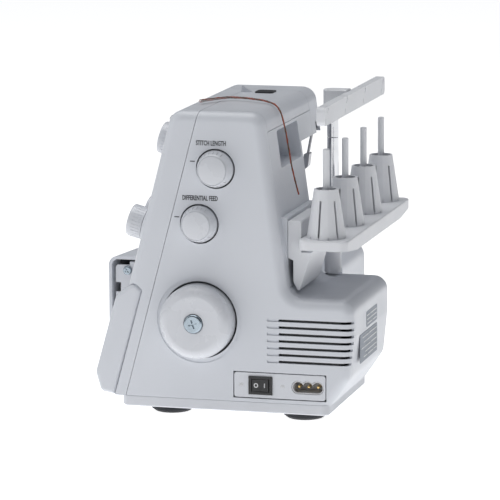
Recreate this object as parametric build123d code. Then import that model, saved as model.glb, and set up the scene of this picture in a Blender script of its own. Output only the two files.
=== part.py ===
from build123d import *
import os
from math import atan, cos, degrees, radians, sin, tan

os.makedirs("parts", exist_ok=True)

# Four-thread home overlock machine, in millimetres.
# +X is the operator's right (handwheel side), -Y the front, +Z up.
# The origin is on the table, under the middle of the whole machine.

# ---------------------------------------------------------------- overall sizes
HALF_WIDTH = 161.0          # middle plane to the handwheel's face, and to the bed's left end
HALF_DEPTH = 138.0          # middle plane to the looper cover's front, and to the rear housing
ROOF_Z = 290.0              # top of the casing
RIGHT_X = 139.0             # right face of the casing
COLUMN_LEFT_X = 12.0        # left face of the column
HEAD_LEFT_X = -70.0         # left end of the head
HOUSING_LEFT_X = -11.0      # left end of the low rear housing

# ---------------------------------------------------------------- casing
WALL = 2.6                  # thickness of the moulded covers
SEAM = 0.5                  # gap between two covers
FIT = 0.3                   # clearance between a fixed piece and the cover it sits in
FRONT_TOP_Y = -36.6         # front face at the roof
REAR_TOP_Y = 51.0           # rear face at the roof
SEAM_TOP_Y = -9.5           # long seam at the roof
HOUSING_TOP_Z = 116.0       # top of the low rear housing
SKIRT_Z = 17.0              # lower edge of the casing, on the base pan
FRONT_SLOPE = 71.526 / (ROOF_Z - SKIRT_Z)   # lean of the front face: its whole run back over its height
REAR_SLOPE = 37.674 / (ROOF_Z - SKIRT_Z)    # lean of the rear face
SEAM_SLOPE = 73.164 / (ROOF_Z - SKIRT_Z)    # lean of the long seam between the front cover and the rest
ROOF_ROUND = 14.0           # rounding along the roof's front and rear edges
SIDE_ROUND = 9.0            # rounding round the right face
HEAD_UNDER_Z = ROOF_Z - 43.0    # underside of the head at the rear
NOSE_UNDER_Z = ROOF_Z - 104.0   # underside of the head round the needle bar
NOSE_REAR_Y = 12.0          # rear of the deeper front part of the head
END_COVER_X = -33.0         # seam between the head and its end cover
WRAP_X = 125.0              # how far the right cover wraps round the rear
ROOF_SEAM_Z = ROOF_Z - 19.0     # seam under the roof cover

RECESS_RIGHT_X = 94.0       # hand-hold recess in the column's rear
RECESS_LEFT_X = 17.0
RECESS_TOP_Z = ROOF_SEAM_Z - 3.0
RECESS_HEIGHT = 35.0
RECESS_DEPTH = 26.0
LEDGE_Z = ROOF_Z - 100.0         # the column's rear steps out below this height
LEDGE_Y = 71.0              # rear of the stepped-out part

# ---------------------------------------------------------------- base
FOOT_HEIGHT = 7.0
FOOT_RADIUS = 20.5
FOOT_X = 112.0
FOOT_FRONT_Y = -44.0
FOOT_REAR_Y = 86.0
PAN_FRONT_SETBACK = 21.0    # the pan starts this far behind the front face
PAN_REAR_Y = 115.0
PAN_LEFT_X = -157.0
PAN_HEIGHT = 9.6
PAN_FLOOR = 2.6
PAN_WALL = 3.0

# ---------------------------------------------------------------- bed
BED_TOP_Z = 124.5
BED_FRONT_Y = -64.0
BED_REAR_Y = 70.0
LOBE_REAR_Y = 80.0         # the left part of the bed is deeper
LOBE_RIGHT_X = -60.0
BED_ROUND = 18.0
PLATE_THICK = 2.4           # needle plate

# ---------------------------------------------------------------- looper cover
LOOPER_RIGHT_X = 14.0
LOOPER_TOP_Z = 127.5
LOOPER_LOW_Z = 24.0
LOOPER_TAPER = 0.15         # the front wall goes back this much per millimetre to the left
LOOPER_REAR_Y = FRONT_TOP_Y - (ROOF_Z - LOOPER_TOP_Z) * FRONT_SLOPE - 1.325
LOOPER_WALL = 3.2
HINGE_Z = 34.0
HINGE_Y = -112.0
HINGE_RADIUS = 2.5

# ---------------------------------------------------------------- running gear
SHAFT_Y = -10.0
SHAFT_Z = 93.0
SHAFT_RADIUS = 6.0
RUNNING = 0.05              # radial clearance of a running fit
WHEEL_RADIUS = 35.0
WHEEL_GAP = 1.9             # gap round the handwheel
WHEEL_RING = WHEEL_RADIUS + 6.0     # outer radius of the shallow dish round the handwheel
SCREW_HEAD_RADIUS = 9.0
DRIVEN_RADIUS = 30.0
MOTOR_PULLEY_RADIUS = 10.0
BELT_THICK = 2.0
BELT_WIDTH = 7.0
BELT_X = 109.0              # middle of the belt
MOTOR_Y = 104.0
MOTOR_Z = 72.0
MOTOR_RADIUS = 26.0

# ---------------------------------------------------------------- dials
STITCH_Y = 7.0
STITCH_Z = ROOF_Z - 53.0
FEED_Y = -9.0
FEED_Z = ROOF_Z - 105.5
DIAL_RADIUS = 17.4          # skirt of the two side dials
DIAL_GAP = 1.5
DIAL_CAP_RADIUS = 13.4
DIAL_HEIGHT = 14.0
TENSION_RADIUS = 15.5
TENSION_HEIGHT = 15.0
TENSION_COLLAR = 4.0        # height of the raised ring under each tension dial
TENSION_PLACES = [(107.0, ROOF_Z - 114.0), (54.0, ROOF_Z - 114.0), (67.0, ROOF_Z - 40.0), (14.0, ROOF_Z - 40.0)]

# ---------------------------------------------------------------- power panel
PANEL_FRONT_Y = 23.0
PANEL_REAR_Y = 113.0
PANEL_LOW_Z = 20.5
PANEL_TOP_Z = 46.0
SWITCH_Y = 49.5
SWITCH_WIDTH = 23.0
SWITCH_HEIGHT = 17.5
ROCKER_PIVOT_X = RIGHT_X - 2.0
SWITCH_PIN_RADIUS = 1.2
INLET_Y = 95.0
INLET_WIDTH = 32.0
INLET_HEIGHT = 14.0
INLET_PIN_RADIUS = 1.5
INLET_PIN_PLACES = [INLET_Y + side * ((INLET_WIDTH - INLET_HEIGHT) / 2 + 0.2) for side in (-1, 0, 1)]
VENT_COUNT = 7
VENT_TOP_Z = 96.0
VENT_PITCH = 6.55
VENT_HEIGHT = 2.5
VENT_FRONT_Y = 67.0
GROOVE_FRONT_Y = 56.0

# ---------------------------------------------------------------- thread stand
PIN_SPACING = 75.0
PIN_Y = 106.6
PIN_RADIUS = 3.2
PIN_TOP_Z = ROOF_Z - 34.5
TRAY_TOP_Z = ROOF_Z - 118.0
TRAY_HALF_LENGTH = 135.0
TRAY_FRONT_Y = 84.4
TRAY_REAR_Y = 131.5
TRAY_END_DEPTH = 9.5
CONE_BASE_RADIUS = 18.5
CONE_TOP_RADIUS = 11.5
CONE_HEIGHT = 46.0
CONE_WALL = 2.0
POLE_Y = 85.2
POLE_RADIUS = 5.5
ROD_RADIUS = 3.6            # inner telescopic rod
SLEEVE_RADIUS = 8.2         # white tube under the tray
POLE_JOINT_Z = ROOF_Z - 40.0
BAR_LOW_Z = ROOF_Z - 12.5
BAR_HEIGHT = 17.5
BAR_HALF_LENGTH = 123.0
BAR_FRONT_Y = 100.0
BAR_REAR_Y = 108.0
ARM_TOP_Z = ROOF_Z + 7.0

# ---------------------------------------------------------------- sewing parts
NEEDLE_X = -38.0
NEEDLE_Y = -30.0
PRESSER_X = -38.0
PRESSER_Y = -4.0
BAR_RADIUS = 3.5
LIFTER_X = -56.0
PLATE_BOX = (-74.0, -2.0, -60.0, 24.0)      # needle plate: left, right, front, rear
PLATE_SCREWS = [(-66.0, 14.0), (-12.0, 16.0)]
ROCKER_Y = 3.0              # pivot of the needle bar's rocker
ROCKER_Z = ROOF_Z - 54.0
ROCKER_RADIUS = 4.0
SPRING_LOW_Z = ROOF_Z - 83.7    # presser bar spring
SPRING_HIGH_Z = ROOF_Z - 54.0
LOOPER_SHAFTS = [(-6.0, 46.0), (-44.0, 40.0)]   # lower and upper looper pivots
LOOPER_SHAFT_RADIUS = 4.0
KNIFE_Y = -59.0
KNIFE_Z = 72.0
LIFTER_PIVOT_Y = 46.0
LIFTER_PIVOT_Z = ROOF_Z - 34.0
FEED_ROWS = [NEEDLE_X - 5.0, NEEDLE_X + 5.0]
KNIFE_X = NEEDLE_X + 17.0
BRACKET_SPAN = (8.5, 11.3)
BRACKET_SCREW = (-119.4, 113.3)
TRAY_BRACKET_SPAN = (45.0, 119.0)
TRAY_DEPTH = 14.0
PIN_PLACES = [-1.5 * PIN_SPACING, -0.5 * PIN_SPACING, 0.5 * PIN_SPACING, 1.5 * PIN_SPACING]
GUIDE_PLACES = [92.0, 66.0, 40.0, 14.0]
ROCKER_REST = 23.0          # the needle bar's rocker arm points this far up at rest, in degrees
ROCKER_ARM = 33.0
LOWER_LOOPER_Y = -33.0      # rear face of each looper's arm
UPPER_LOOPER_Y = -39.0
LOWER_LOOPER_BLADE = [(-10, 40), (-1, 44), (-8, 78), (-24, 98), (-48, 107), (-52, 105.5), (-28, 92), (-16, 74)]
UPPER_LOOPER_BLADE = [(-49, 36), (-39, 36), (-44, 80), (-40, 96), (-28, 108), (-31, 109.5), (-48, 98), (-52, 80)]
THREAD_RADIUS = 1.0
THREAD_ROUTE = [
    (88.0, -22.0, ROOF_Z + 3.2),
    (56.0, -8.0, ROOF_Z + 3.2),
    (54.0, 10.0, ROOF_Z + 3.2),
    (70.0, 38.0, ROOF_Z + 3.2),
    (80.0, 54.0, ROOF_Z - 1.0),
    (80.0, 60.3, ROOF_Z - 28.0),
    (80.0, 66.0, ROOF_Z - 64.0),
    (80.0, 72.0, ROOF_Z - 84.0),
]
ROOF_FIN = (-12.0, -2.5)   # thread fin on the roof: left side, middle of its base
BEARING_SPANS = [(-75.0, -63.0), (14.0, 26.0), (116.0, 128.0)]
HINGE_LUGS = [-66.0, -14.0]


# ---------------------------------------------------------------- shared shapes
def front_y(z):
    return FRONT_TOP_Y - (ROOF_Z - z) * FRONT_SLOPE


def rear_y(z):
    return REAR_TOP_Y + (ROOF_Z - z) * REAR_SLOPE


def seam_y(z):
    return SEAM_TOP_Y - (ROOF_Z - z) * SEAM_SLOPE


def box(x0, x1, y0, y1, z0, z1):
    return Pos((x0 + x1) / 2, (y0 + y1) / 2, (z0 + z1) / 2) * Box(x1 - x0, y1 - y0, z1 - z0)


def prism_x(points, radii, x0, x1):
    """A rounded outline in the YZ plane, carried from x0 to x1."""
    outline = make_face(FilletPolyline(*points, radius=radii, close=True))
    return extrude(Plane.YZ.offset(x0) * outline, amount=x1 - x0)


def rod_x(x0, x1, y, z, radius):
    return Pos((x0 + x1) / 2, y, z) * Rot(0, 90, 0) * Cylinder(radius, x1 - x0)


def rod_y(y0, y1, x, z, radius):
    return Pos(x, (y0 + y1) / 2, z) * Rot(90, 0, 0) * Cylinder(radius, y1 - y0)


def rod_z(z0, z1, x, y, radius):
    return Pos(x, y, (z0 + z1) / 2) * Cylinder(radius, z1 - z0)


def half_space_front(y_top, slope, x0, x1, low_z):
    """Everything in front of a plane that leans like the front face."""
    high_z = ROOF_Z + 40
    points = [
        (y_top - (ROOF_Z - low_z) * slope, low_z),
        (y_top - (ROOF_Z - high_z) * slope, high_z),
        (y_top - 400, high_z),
        (y_top - 400, low_z),
    ]
    return extrude(Plane.YZ.offset(x0) * make_face(Polyline(*points, close=True)), amount=x1 - x0)


def leaning_plane(x, z, proud):
    """A plane on the front face at (x, z), its normal pointing out of the face."""
    lean = degrees(atan(FRONT_SLOPE))
    normal = Vector(0, -cos(radians(lean)), sin(radians(lean)))
    up = Vector(0, sin(radians(lean)), cos(radians(lean)))
    origin = Vector(x, front_y(z), z) + normal * proud
    return Plane(origin=origin, x_dir=up.cross(normal), z_dir=normal)


# ---------------------------------------------------------------- casing covers
def side_outline(inset):
    """Outline of the right face: leaning front, flat roof, leaning rear, low rear housing."""
    points = [
        (front_y(SKIRT_Z), SKIRT_Z),
        (front_y(ROOF_Z), ROOF_Z),
        (rear_y(ROOF_Z), ROOF_Z),
        (rear_y(HOUSING_TOP_Z), HOUSING_TOP_Z),
        (HALF_DEPTH, HOUSING_TOP_Z),
        (HALF_DEPTH, HOUSING_TOP_Z - 35),
        (HALF_DEPTH - 4, 42),
        (PAN_REAR_Y + 2, SKIRT_Z),
    ]
    radii = [0, ROOF_ROUND, ROOF_ROUND, 16, 13, 0, 15, 0]
    outline = make_face(FilletPolyline(*points, radius=radii, close=True))
    if inset > 0:
        outline = offset(outline, amount=-inset)
    return outline


def casing_block(inset):
    """Column, head and rear housing as one block, drawn in by the given amount."""
    right = RIGHT_X - inset
    left = HEAD_LEFT_X + inset
    block = extrude(Plane.YZ.offset(left) * side_outline(inset), amount=right - left)
    edge_round = SIDE_ROUND - inset
    right_face = block.faces().sort_by(Axis.X)[-1]
    block = fillet([e for e in right_face.edges() if e.center().Z > SKIRT_Z + inset + 1], edge_round)
    left_face = block.faces().sort_by(Axis.X)[0]
    block = fillet([e for e in left_face.edges() if e.center().Z > HOUSING_TOP_Z], edge_round - 3)
    column = COLUMN_LEFT_X + inset
    housing = HOUSING_LEFT_X + inset
    block -= box(left - 50, column, NOSE_REAR_Y - inset, BED_REAR_Y + 2 + inset, 0, HEAD_UNDER_Z + inset)
    block -= box(left - 50, column, BED_REAR_Y + 1, 300, HOUSING_TOP_Z + 0.01, HEAD_UNDER_Z + inset)
    block -= box(left - 50, column, -300, NOSE_REAR_Y, 0, NOSE_UNDER_Z + inset)
    block -= box(left - 50, housing, BED_REAR_Y + 1, 300, 0, HEAD_UNDER_Z + inset)
    housing_end = [f for f in block.faces().filter_by(Axis.X) if abs(f.center().X - housing) < 0.01]
    ends = [e for f in housing_end for e in f.edges() if e.center().Z > SKIRT_Z + inset + 1]
    ends = [e for e in ends if e.center().Y > BED_REAR_Y + inset + 3]
    return fillet(ends, edge_round - 3)


def bulge_outline():
    """Section of the fixed lower front cover."""
    points = [
        (front_y(17) + 14, SKIRT_Z),
        (front_y(19) - 0.5, SKIRT_Z + 2.5),
        (front_y(38) - 10.6, 38),
        (front_y(114) - 9, 114),
        (front_y(126) + 6, 126),
        (front_y(119) + 15.5, 119),
    ]
    return make_face(FilletPolyline(*points, radius=[0, 6, 11, 14, 6, 2], close=True))


def bulge_gap():
    grown = offset(bulge_outline(), amount=SEAM)
    ahead = make_face(Polyline((-250, 0), (-250, 119), (front_y(119) + 15, 119), (front_y(17) + 13.5, SKIRT_Z),
                               (front_y(17) + 13.5, 0), close=True))
    start = Plane.YZ.offset(COLUMN_LEFT_X - 5)
    length = RIGHT_X - COLUMN_LEFT_X + 10
    return extrude(start * grown, amount=length) + extrude(start * ahead, amount=length)


def make_shell():
    shell = casing_block(0) - casing_block(WALL)
    front = front_y(SKIRT_Z) + 24
    shell -= box(COLUMN_LEFT_X + WALL, RIGHT_X - WALL, front, PAN_REAR_Y - 3, 0, SKIRT_Z + 8)
    shell -= box(HOUSING_LEFT_X + WALL, COLUMN_LEFT_X + 5, BED_REAR_Y + 6, PAN_REAR_Y - 3, 0, SKIRT_Z + 8)
    shell -= box(COLUMN_LEFT_X - 2, COLUMN_LEFT_X + WALL + 1, front, BED_REAR_Y - 4, 0, BED_TOP_Z - 5)
    shell -= box(HOUSING_LEFT_X - 1, COLUMN_LEFT_X - 0.01, BED_REAR_Y - 5, BED_REAR_Y + 2, 0, HOUSING_TOP_Z + 5)
    return shell - bulge_gap()


def vent_cuts():
    """Seven slots through the right cover, each in a longer shallow groove that runs round the corner."""
    cuts = []
    for index in range(VENT_COUNT):
        z = VENT_TOP_Z - index * VENT_PITCH
        half = VENT_HEIGHT / 2
        cuts.append(box(RIGHT_X - 6, RIGHT_X + 2, VENT_FRONT_Y, HALF_DEPTH - 8, z - half, z + half))
        cuts.append(box(RIGHT_X - 1.1, RIGHT_X + 2, GROOVE_FRONT_Y, VENT_FRONT_Y + 1, z - half, z + half))
        cuts.append(box(RIGHT_X - 8, RIGHT_X + 2, HALF_DEPTH - 9, HALF_DEPTH + 2, z - half, z + half))
    return cuts


def make_right_cover(rest):
    cover = rest & box(WRAP_X + SEAM / 2, RIGHT_X + 1, -300, 300, 0, ROOF_Z + 1)
    opening = WHEEL_RADIUS + WHEEL_GAP
    cover -= rod_x(RIGHT_X - 8, RIGHT_X + 2, SHAFT_Y, SHAFT_Z, opening)
    cover -= rod_x(RIGHT_X - 0.9, RIGHT_X + 2, SHAFT_Y, SHAFT_Z, WHEEL_RING)
    for y, z in [(STITCH_Y, STITCH_Z), (FEED_Y, FEED_Z)]:
        cover -= rod_x(RIGHT_X - 8, RIGHT_X + 2, y, z, DIAL_RADIUS + DIAL_GAP)
    cover -= box(RIGHT_X - 8, RIGHT_X + 2, PANEL_FRONT_Y, PANEL_REAR_Y, PANEL_LOW_Z, PANEL_TOP_Z)
    for cut in vent_cuts():
        cover -= cut
    return cover


def make_front_cover(shell):
    cover = shell & half_space_front(SEAM_TOP_Y - SEAM / 2, SEAM_SLOPE, END_COVER_X + SEAM / 2, 200, 0)
    for x, z in TENSION_PLACES:
        place = leaning_plane(x, z, 0)
        collar = place * (Pos(0, 0, TENSION_COLLAR / 2 - 0.5) * Cone(TENSION_RADIUS + 3, TENSION_RADIUS + 1,
                                                                     TENSION_COLLAR + 1))
        cover += collar
        cover -= place * (Pos(0, 0, 0) * Cylinder(9.6, 30))
        slot = Pos(-TENSION_RADIUS - 7, 9, 0) * Box(2.4, 34, 2.4)
        cover -= place * slot
    return cover


def make_top_cover(rest):
    cover = rest & box(END_COVER_X + SEAM / 2, WRAP_X - SEAM / 2, -300, 300, ROOF_SEAM_Z + SEAM / 2, ROOF_Z + 1)
    return cover + make_roof_fin()


def recess_block(inset):
    """The hand-hold pocket, widened by the given amount on every side but the mouth."""
    top = RECESS_TOP_Z
    low = RECESS_TOP_Z - RECESS_HEIGHT
    back = rear_y(top) - RECESS_DEPTH
    pocket = box(RECESS_LEFT_X - inset, RECESS_RIGHT_X + inset, back - inset, 90, low - inset, top + inset)
    return fillet(pocket.edges().filter_by(Axis.Y), 3 + inset)


def make_rear_cover(rest):
    low = HOUSING_TOP_Z + 9
    cover = rest & box(END_COVER_X + SEAM / 2, WRAP_X - SEAM / 2, -300, 300, low, ROOF_SEAM_Z - SEAM / 2)
    pocket_wall = recess_block(WALL) & casing_block(0.3)
    cover += pocket_wall & box(RECESS_LEFT_X - WALL, RECESS_RIGHT_X + WALL, -20, 80, LEDGE_Z + 5, ROOF_SEAM_Z - SEAM)
    cover -= recess_block(0)
    ledge = box(COLUMN_LEFT_X, WRAP_X - 6, rear_y(LEDGE_Z) - 6, LEDGE_Y, low, LEDGE_Z)
    ledge -= box(COLUMN_LEFT_X + WALL, WRAP_X - 6 - WALL, rear_y(LEDGE_Z) - 12, LEDGE_Y - WALL, low - 1, LEDGE_Z - WALL)
    ledge -= casing_block(WALL)
    cover += ledge
    return cover


def make_motor_cover(rest):
    high = HOUSING_TOP_Z + 9 - SEAM
    cover = rest & box(HOUSING_LEFT_X - 1, WRAP_X - SEAM / 2, -300, 300, 0, high)
    return cover


def make_end_cover(shell):
    """Head's end cover, with a slot for the lifter at the lower rear."""
    cover = shell & box(HEAD_LEFT_X - 1, END_COVER_X - SEAM / 2, -300, 300, 100, ROOF_Z + 1)
    cover -= box(LIFTER_X - 7.5, LIFTER_X + 7.5, LIFTER_PIVOT_Y - 5, 80, HEAD_UNDER_Z - 1, LIFTER_PIVOT_Z + 1.5)
    cover -= rod_z(NOSE_UNDER_Z - 1, NOSE_UNDER_Z + WALL + 1, NEEDLE_X, NEEDLE_Y, 9) & box(-200, END_COVER_X, -90, 0, 0, 300)
    return cover - rod_z(NOSE_UNDER_Z - 1, NOSE_UNDER_Z + WALL + 1, PRESSER_X, PRESSER_Y, 8)


def make_lower_front_cover():
    left = LOOPER_RIGHT_X + 10
    block = extrude(Plane.YZ.offset(left) * bulge_outline(), amount=RIGHT_X - left)
    hollow = offset(bulge_outline(), amount=-WALL)
    inner = extrude(Plane.YZ.offset(left + WALL) * hollow, amount=RIGHT_X - left - 2 * WALL)
    end_face = block.faces().sort_by(Axis.X)[-1]
    outer_edges = [e for e in end_face.edges() if e.center().Y < front_y(e.center().Z) + 6]
    block = fillet(outer_edges, 4)
    shell = block - inner
    for step in (3, 6):
        shell -= Pos(0, step, 0) * inner
    return shell


# ---------------------------------------------------------------- base and bed
def pan_block(inset, low, high):
    """Plan of the pan: its left part is less deep, as the bed above it is."""
    front = front_y(SKIRT_Z) + PAN_FRONT_SETBACK + inset
    left, right = PAN_LEFT_X + inset, RIGHT_X - 0.5 - inset
    step_x, step_y = HOUSING_LEFT_X - 3 + inset, LOBE_REAR_Y - 3 - inset
    plan = [(left, front), (right, front), (right, PAN_REAR_Y - inset), (step_x, PAN_REAR_Y - inset), (step_x, step_y),
            (left, step_y)]
    outline = FilletPolyline(*plan, radius=[7 - inset] * len(plan), close=True)
    return extrude(Plane.XY.offset(low) * make_face(outline), amount=high - low)


def make_base_pan():
    low, high = FOOT_HEIGHT, FOOT_HEIGHT + PAN_HEIGHT
    pan = pan_block(0, low, high)
    pan = chamfer(pan.faces().sort_by(Axis.Z)[0].edges(), 1.2)
    return pan - pan_block(PAN_WALL, low + PAN_FLOOR, high + 1)


def make_feet():
    """Moulded rubber discs with a waist under the pan."""
    feet = []
    for x, rear in ((-FOOT_X - 20, LOBE_REAR_Y - 26), (FOOT_X, FOOT_REAR_Y)):
        for y in (FOOT_FRONT_Y, rear):
            profile = make_face(Polyline((0, 0), (FOOT_RADIUS - 3.5, 0), (FOOT_RADIUS, 2.6), (FOOT_RADIUS, 5.2),
                                         (FOOT_RADIUS - 1.6, FOOT_HEIGHT), (0, FOOT_HEIGHT), close=True))
            feet.append(Pos(x, y, 0) * revolve(Plane.XZ * profile, Axis.Z))
    return Compound(children=feet)


def bed_block(inset):
    right = COLUMN_LEFT_X - SEAM - inset
    left = -HALF_WIDTH + inset
    outline = [(BED_FRONT_Y + inset, SKIRT_Z), (BED_FRONT_Y + inset, BED_TOP_Z - inset),
               (BED_REAR_Y - inset, BED_TOP_Z - inset), (BED_REAR_Y - inset, SKIRT_Z)]
    lobe = [(BED_FRONT_Y + inset, SKIRT_Z), (BED_FRONT_Y + inset, BED_TOP_Z - inset),
            (LOBE_REAR_Y - inset, BED_TOP_Z - inset), (LOBE_REAR_Y - inset, SKIRT_Z)]
    block = prism_x(outline, [0, 2, BED_ROUND - inset, 0], LOBE_RIGHT_X - 1, right)
    lobe_block = prism_x(lobe, [0, 2, BED_ROUND - inset, 0], left, LOBE_RIGHT_X - inset)
    end_face = lobe_block.faces().sort_by(Axis.X)[0]
    lobe_block = fillet([e for e in end_face.edges() if e.center().Z > SKIRT_Z + 1 and e.center().Y > -60], 8 - inset)
    return block + lobe_block


def make_bed_cover():
    cover = bed_block(0) - bed_block(WALL)
    cover -= box(-HALF_WIDTH + WALL, COLUMN_LEFT_X - SEAM - WALL, BED_FRONT_Y + WALL, BED_REAR_Y - WALL, 0, SKIRT_Z + 8)
    cover -= box(LOBE_RIGHT_X - 8, LOBE_RIGHT_X + 4, BED_FRONT_Y + WALL, BED_REAR_Y - BED_ROUND - 2, 0, BED_TOP_Z - WALL - 0.01)
    cover -= box(-HALF_WIDTH + 24, COLUMN_LEFT_X + 1, BED_FRONT_Y - 1, BED_FRONT_Y + WALL + 1, SKIRT_Z - 1, BED_TOP_Z + 1)
    cover -= box(COLUMN_LEFT_X - 10, COLUMN_LEFT_X, BED_FRONT_Y - 1, BED_REAR_Y - 8, 0, BED_TOP_Z - 5)
    x0, x1, y0, y1 = PLATE_BOX
    cover -= box(x0 - FIT, x1 + FIT, y0 - 2, y1 + FIT, BED_TOP_Z - WALL - 1, BED_TOP_Z + 1)
    return cover


def make_needle_plate():
    x0, x1, y0, y1 = PLATE_BOX
    top = BED_TOP_Z + 0.4
    plate = box(x0, x1, y0, y1, top - PLATE_THICK, top)
    plate = fillet(plate.edges().filter_by(Axis.Z), 3)
    for x in FEED_ROWS:
        plate -= box(x - 2.6, x + 2.6, NEEDLE_Y + 4, NEEDLE_Y + 44, 0, 200)
    plate -= box(NEEDLE_X - 5.5, NEEDLE_X + 5.5, NEEDLE_Y - 2.5, NEEDLE_Y + 2.5, 0, 200)
    plate -= box(KNIFE_X - 3.5, KNIFE_X + 3.2, y0 - 1, NEEDLE_Y - 4, 0, 200)
    for x, y in PLATE_SCREWS:
        plate -= rod_z(0, 200, x, y, 2.0)
    return plate


def make_main_frame():
    """Cast frame: base plate, bearing walls, back wall, arm, needle bar block and bed block."""
    base = FOOT_HEIGHT + PAN_FLOOR
    arm_low = HEAD_UNDER_Z + WALL + 3
    arm_high = ROOF_Z - 22
    bed_low, bed_high = BED_TOP_Z - 13, BED_TOP_Z - 7
    frame = box(-150, 128, -64, LOBE_REAR_Y - 8, base, base + 7)
    for x0, x1 in [(17, 23), (117, 124)]:
        frame += box(x0, x1, -44, 30, base, FEED_Z + 15)
        frame += box(x0, x1, -26, 24, base, arm_high)
    frame += box(20, 98, 14, 22, base, arm_high)
    frame += box(NEEDLE_X - 20, 124, -2, 22, arm_low, arm_high)
    frame += box(NEEDLE_X - 16, NEEDLE_X + 16, NEEDLE_Y - 9, PRESSER_Y + 9, NOSE_UNDER_Z + WALL + 4, arm_high)
    frame += box(-10, -2, -2, ROCKER_Y + 6, ROCKER_Z - 7, arm_high)
    frame += box(-72, -66, -56, 50, base, bed_high)
    frame += box(-72, 20, 15, 30, bed_low, bed_high)
    frame += box(-72, -60, -56, 50, bed_low, bed_high)
    frame += box(LIFTER_X - 7, LIFTER_X - 4, 10, LIFTER_PIVOT_Y + 4, LIFTER_PIVOT_Z - 4, LIFTER_PIVOT_Z + 7)
    frame += box(LIFTER_X + 4, LIFTER_X + 7, 10, LIFTER_PIVOT_Y + 4, LIFTER_PIVOT_Z - 4, LIFTER_PIVOT_Z + 7)
    frame += box(LIFTER_X - 7, 20, 10, 22, LIFTER_PIVOT_Z - 3, LIFTER_PIVOT_Z + 7)
    for x, y in PLATE_SCREWS:
        frame += rod_z(bed_high - 1, BED_TOP_Z + 0.4 - PLATE_THICK, x, y, 5)
        frame -= rod_z(bed_high - 4, BED_TOP_Z, x, y, 2)
    for x0, x1 in BEARING_SPANS:
        frame += rod_x(x0, x1, SHAFT_Y, SHAFT_Z, 15)
        frame -= rod_x(x0 - 1, x1 + 1, SHAFT_Y, SHAFT_Z, SHAFT_RADIUS + 3)
    for y, z in [(STITCH_Y, STITCH_Z), (FEED_Y, FEED_Z)]:
        frame -= rod_x(110, 130, y, z, 4 + RUNNING)
    for x, y in [(NEEDLE_X, NEEDLE_Y), (PRESSER_X, PRESSER_Y)]:
        frame -= rod_z(NOSE_UNDER_Z, arm_high + 1, x, y, BAR_RADIUS + RUNNING)
    frame -= box(NEEDLE_X - 7, NEEDLE_X + 20, NEEDLE_Y - 6, NEEDLE_Y + 7, ROCKER_Z - 19, ROCKER_Z + 19)
    frame -= box(PRESSER_X - 8, PRESSER_X + 20, PRESSER_Y - 8, PRESSER_Y + 20, SPRING_LOW_Z - 4, SPRING_HIGH_Z)
    frame -= rod_x(-12, 30, ROCKER_Y, ROCKER_Z, ROCKER_RADIUS + RUNNING)
    frame += box(LOOPER_SHAFTS[1][0] - 14, BRACKET_SPAN[0], -64, -56, base, 60)
    frame += box(KNIFE_X + 5, BRACKET_SPAN[0], -64, -56, base, BED_TOP_Z - 24)
    frame += box(KNIFE_X + 4, BRACKET_SPAN[0], -64, -54, BED_TOP_Z - 24, BED_TOP_Z - 14)
    for x, z in LOOPER_SHAFTS:
        frame -= rod_y(-70, -50, x, z, LOOPER_SHAFT_RADIUS + RUNNING)
    frame -= rod_x(KNIFE_X + 4, 7, KNIFE_Y, KNIFE_Z, 3 + RUNNING)
    frame -= rod_x(LIFTER_X - 8, LIFTER_X + 8, LIFTER_PIVOT_Y, LIFTER_PIVOT_Z, 3 + RUNNING)
    for x in HINGE_LUGS:
        pan_front = front_y(SKIRT_Z) + PAN_FRONT_SETBACK
        frame += rod_x(x - 4, x + 4, HINGE_Y, HINGE_Z, 6)
        frame += box(x - 4, x + 4, HINGE_Y, -60, HINGE_Z - 6, HINGE_Z + 6)
        frame += box(x - 4, x + 4, pan_front + PAN_WALL + 1, -60, base, HINGE_Z)
        frame -= rod_x(x - 5, x + 5, HINGE_Y, HINGE_Z, HINGE_RADIUS + RUNNING)
    return frame


def make_bearings():
    rings = []
    for x0, x1 in BEARING_SPANS:
        ring = rod_x(x0, x1, SHAFT_Y, SHAFT_Z, SHAFT_RADIUS + 3) - rod_x(x0 - 1, x1 + 1, SHAFT_Y, SHAFT_Z,
                                                                         SHAFT_RADIUS + RUNNING)
        rings.append(ring)
    return Compound(children=rings)


# ---------------------------------------------------------------- running gear
def make_main_shaft():
    return rod_x(-74, RIGHT_X + 12, SHAFT_Y, SHAFT_Z, SHAFT_RADIUS)


def make_handwheel():
    """Rounded dished wheel, turned about X, with a boss that fits over the shaft."""
    face = HALF_WIDTH - 1.2
    rear = RIGHT_X - 5
    radius = WHEEL_RADIUS
    with BuildSketch(Plane.XZ) as section:
        with BuildLine():
            Polyline((rear, 9), (rear, radius - 2.6))
            Line((rear, radius - 2.6), (rear + 1, radius))
            Line((rear + 1, radius), (face - 11, radius))
            TangentArc((face - 11, radius), (face - 0.6, radius - 9.6), tangent=(1, 0.02))
            Polyline((face - 0.6, radius - 9.6), (face - 1.1, SCREW_HEAD_RADIUS + 2), (face - 1.1, SCREW_HEAD_RADIUS + 0.5),
                     (face - 3.4, SCREW_HEAD_RADIUS + 0.5), (face - 3.4, 0), (RIGHT_X + 12, 0), (RIGHT_X + 12, SHAFT_RADIUS),
                     (RIGHT_X - 10, SHAFT_RADIUS), (RIGHT_X - 10, 9), (rear, 9))
        make_face()
    wheel = revolve(section.sketch, Axis.X)
    return Pos(0, SHAFT_Y, SHAFT_Z) * wheel


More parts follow.
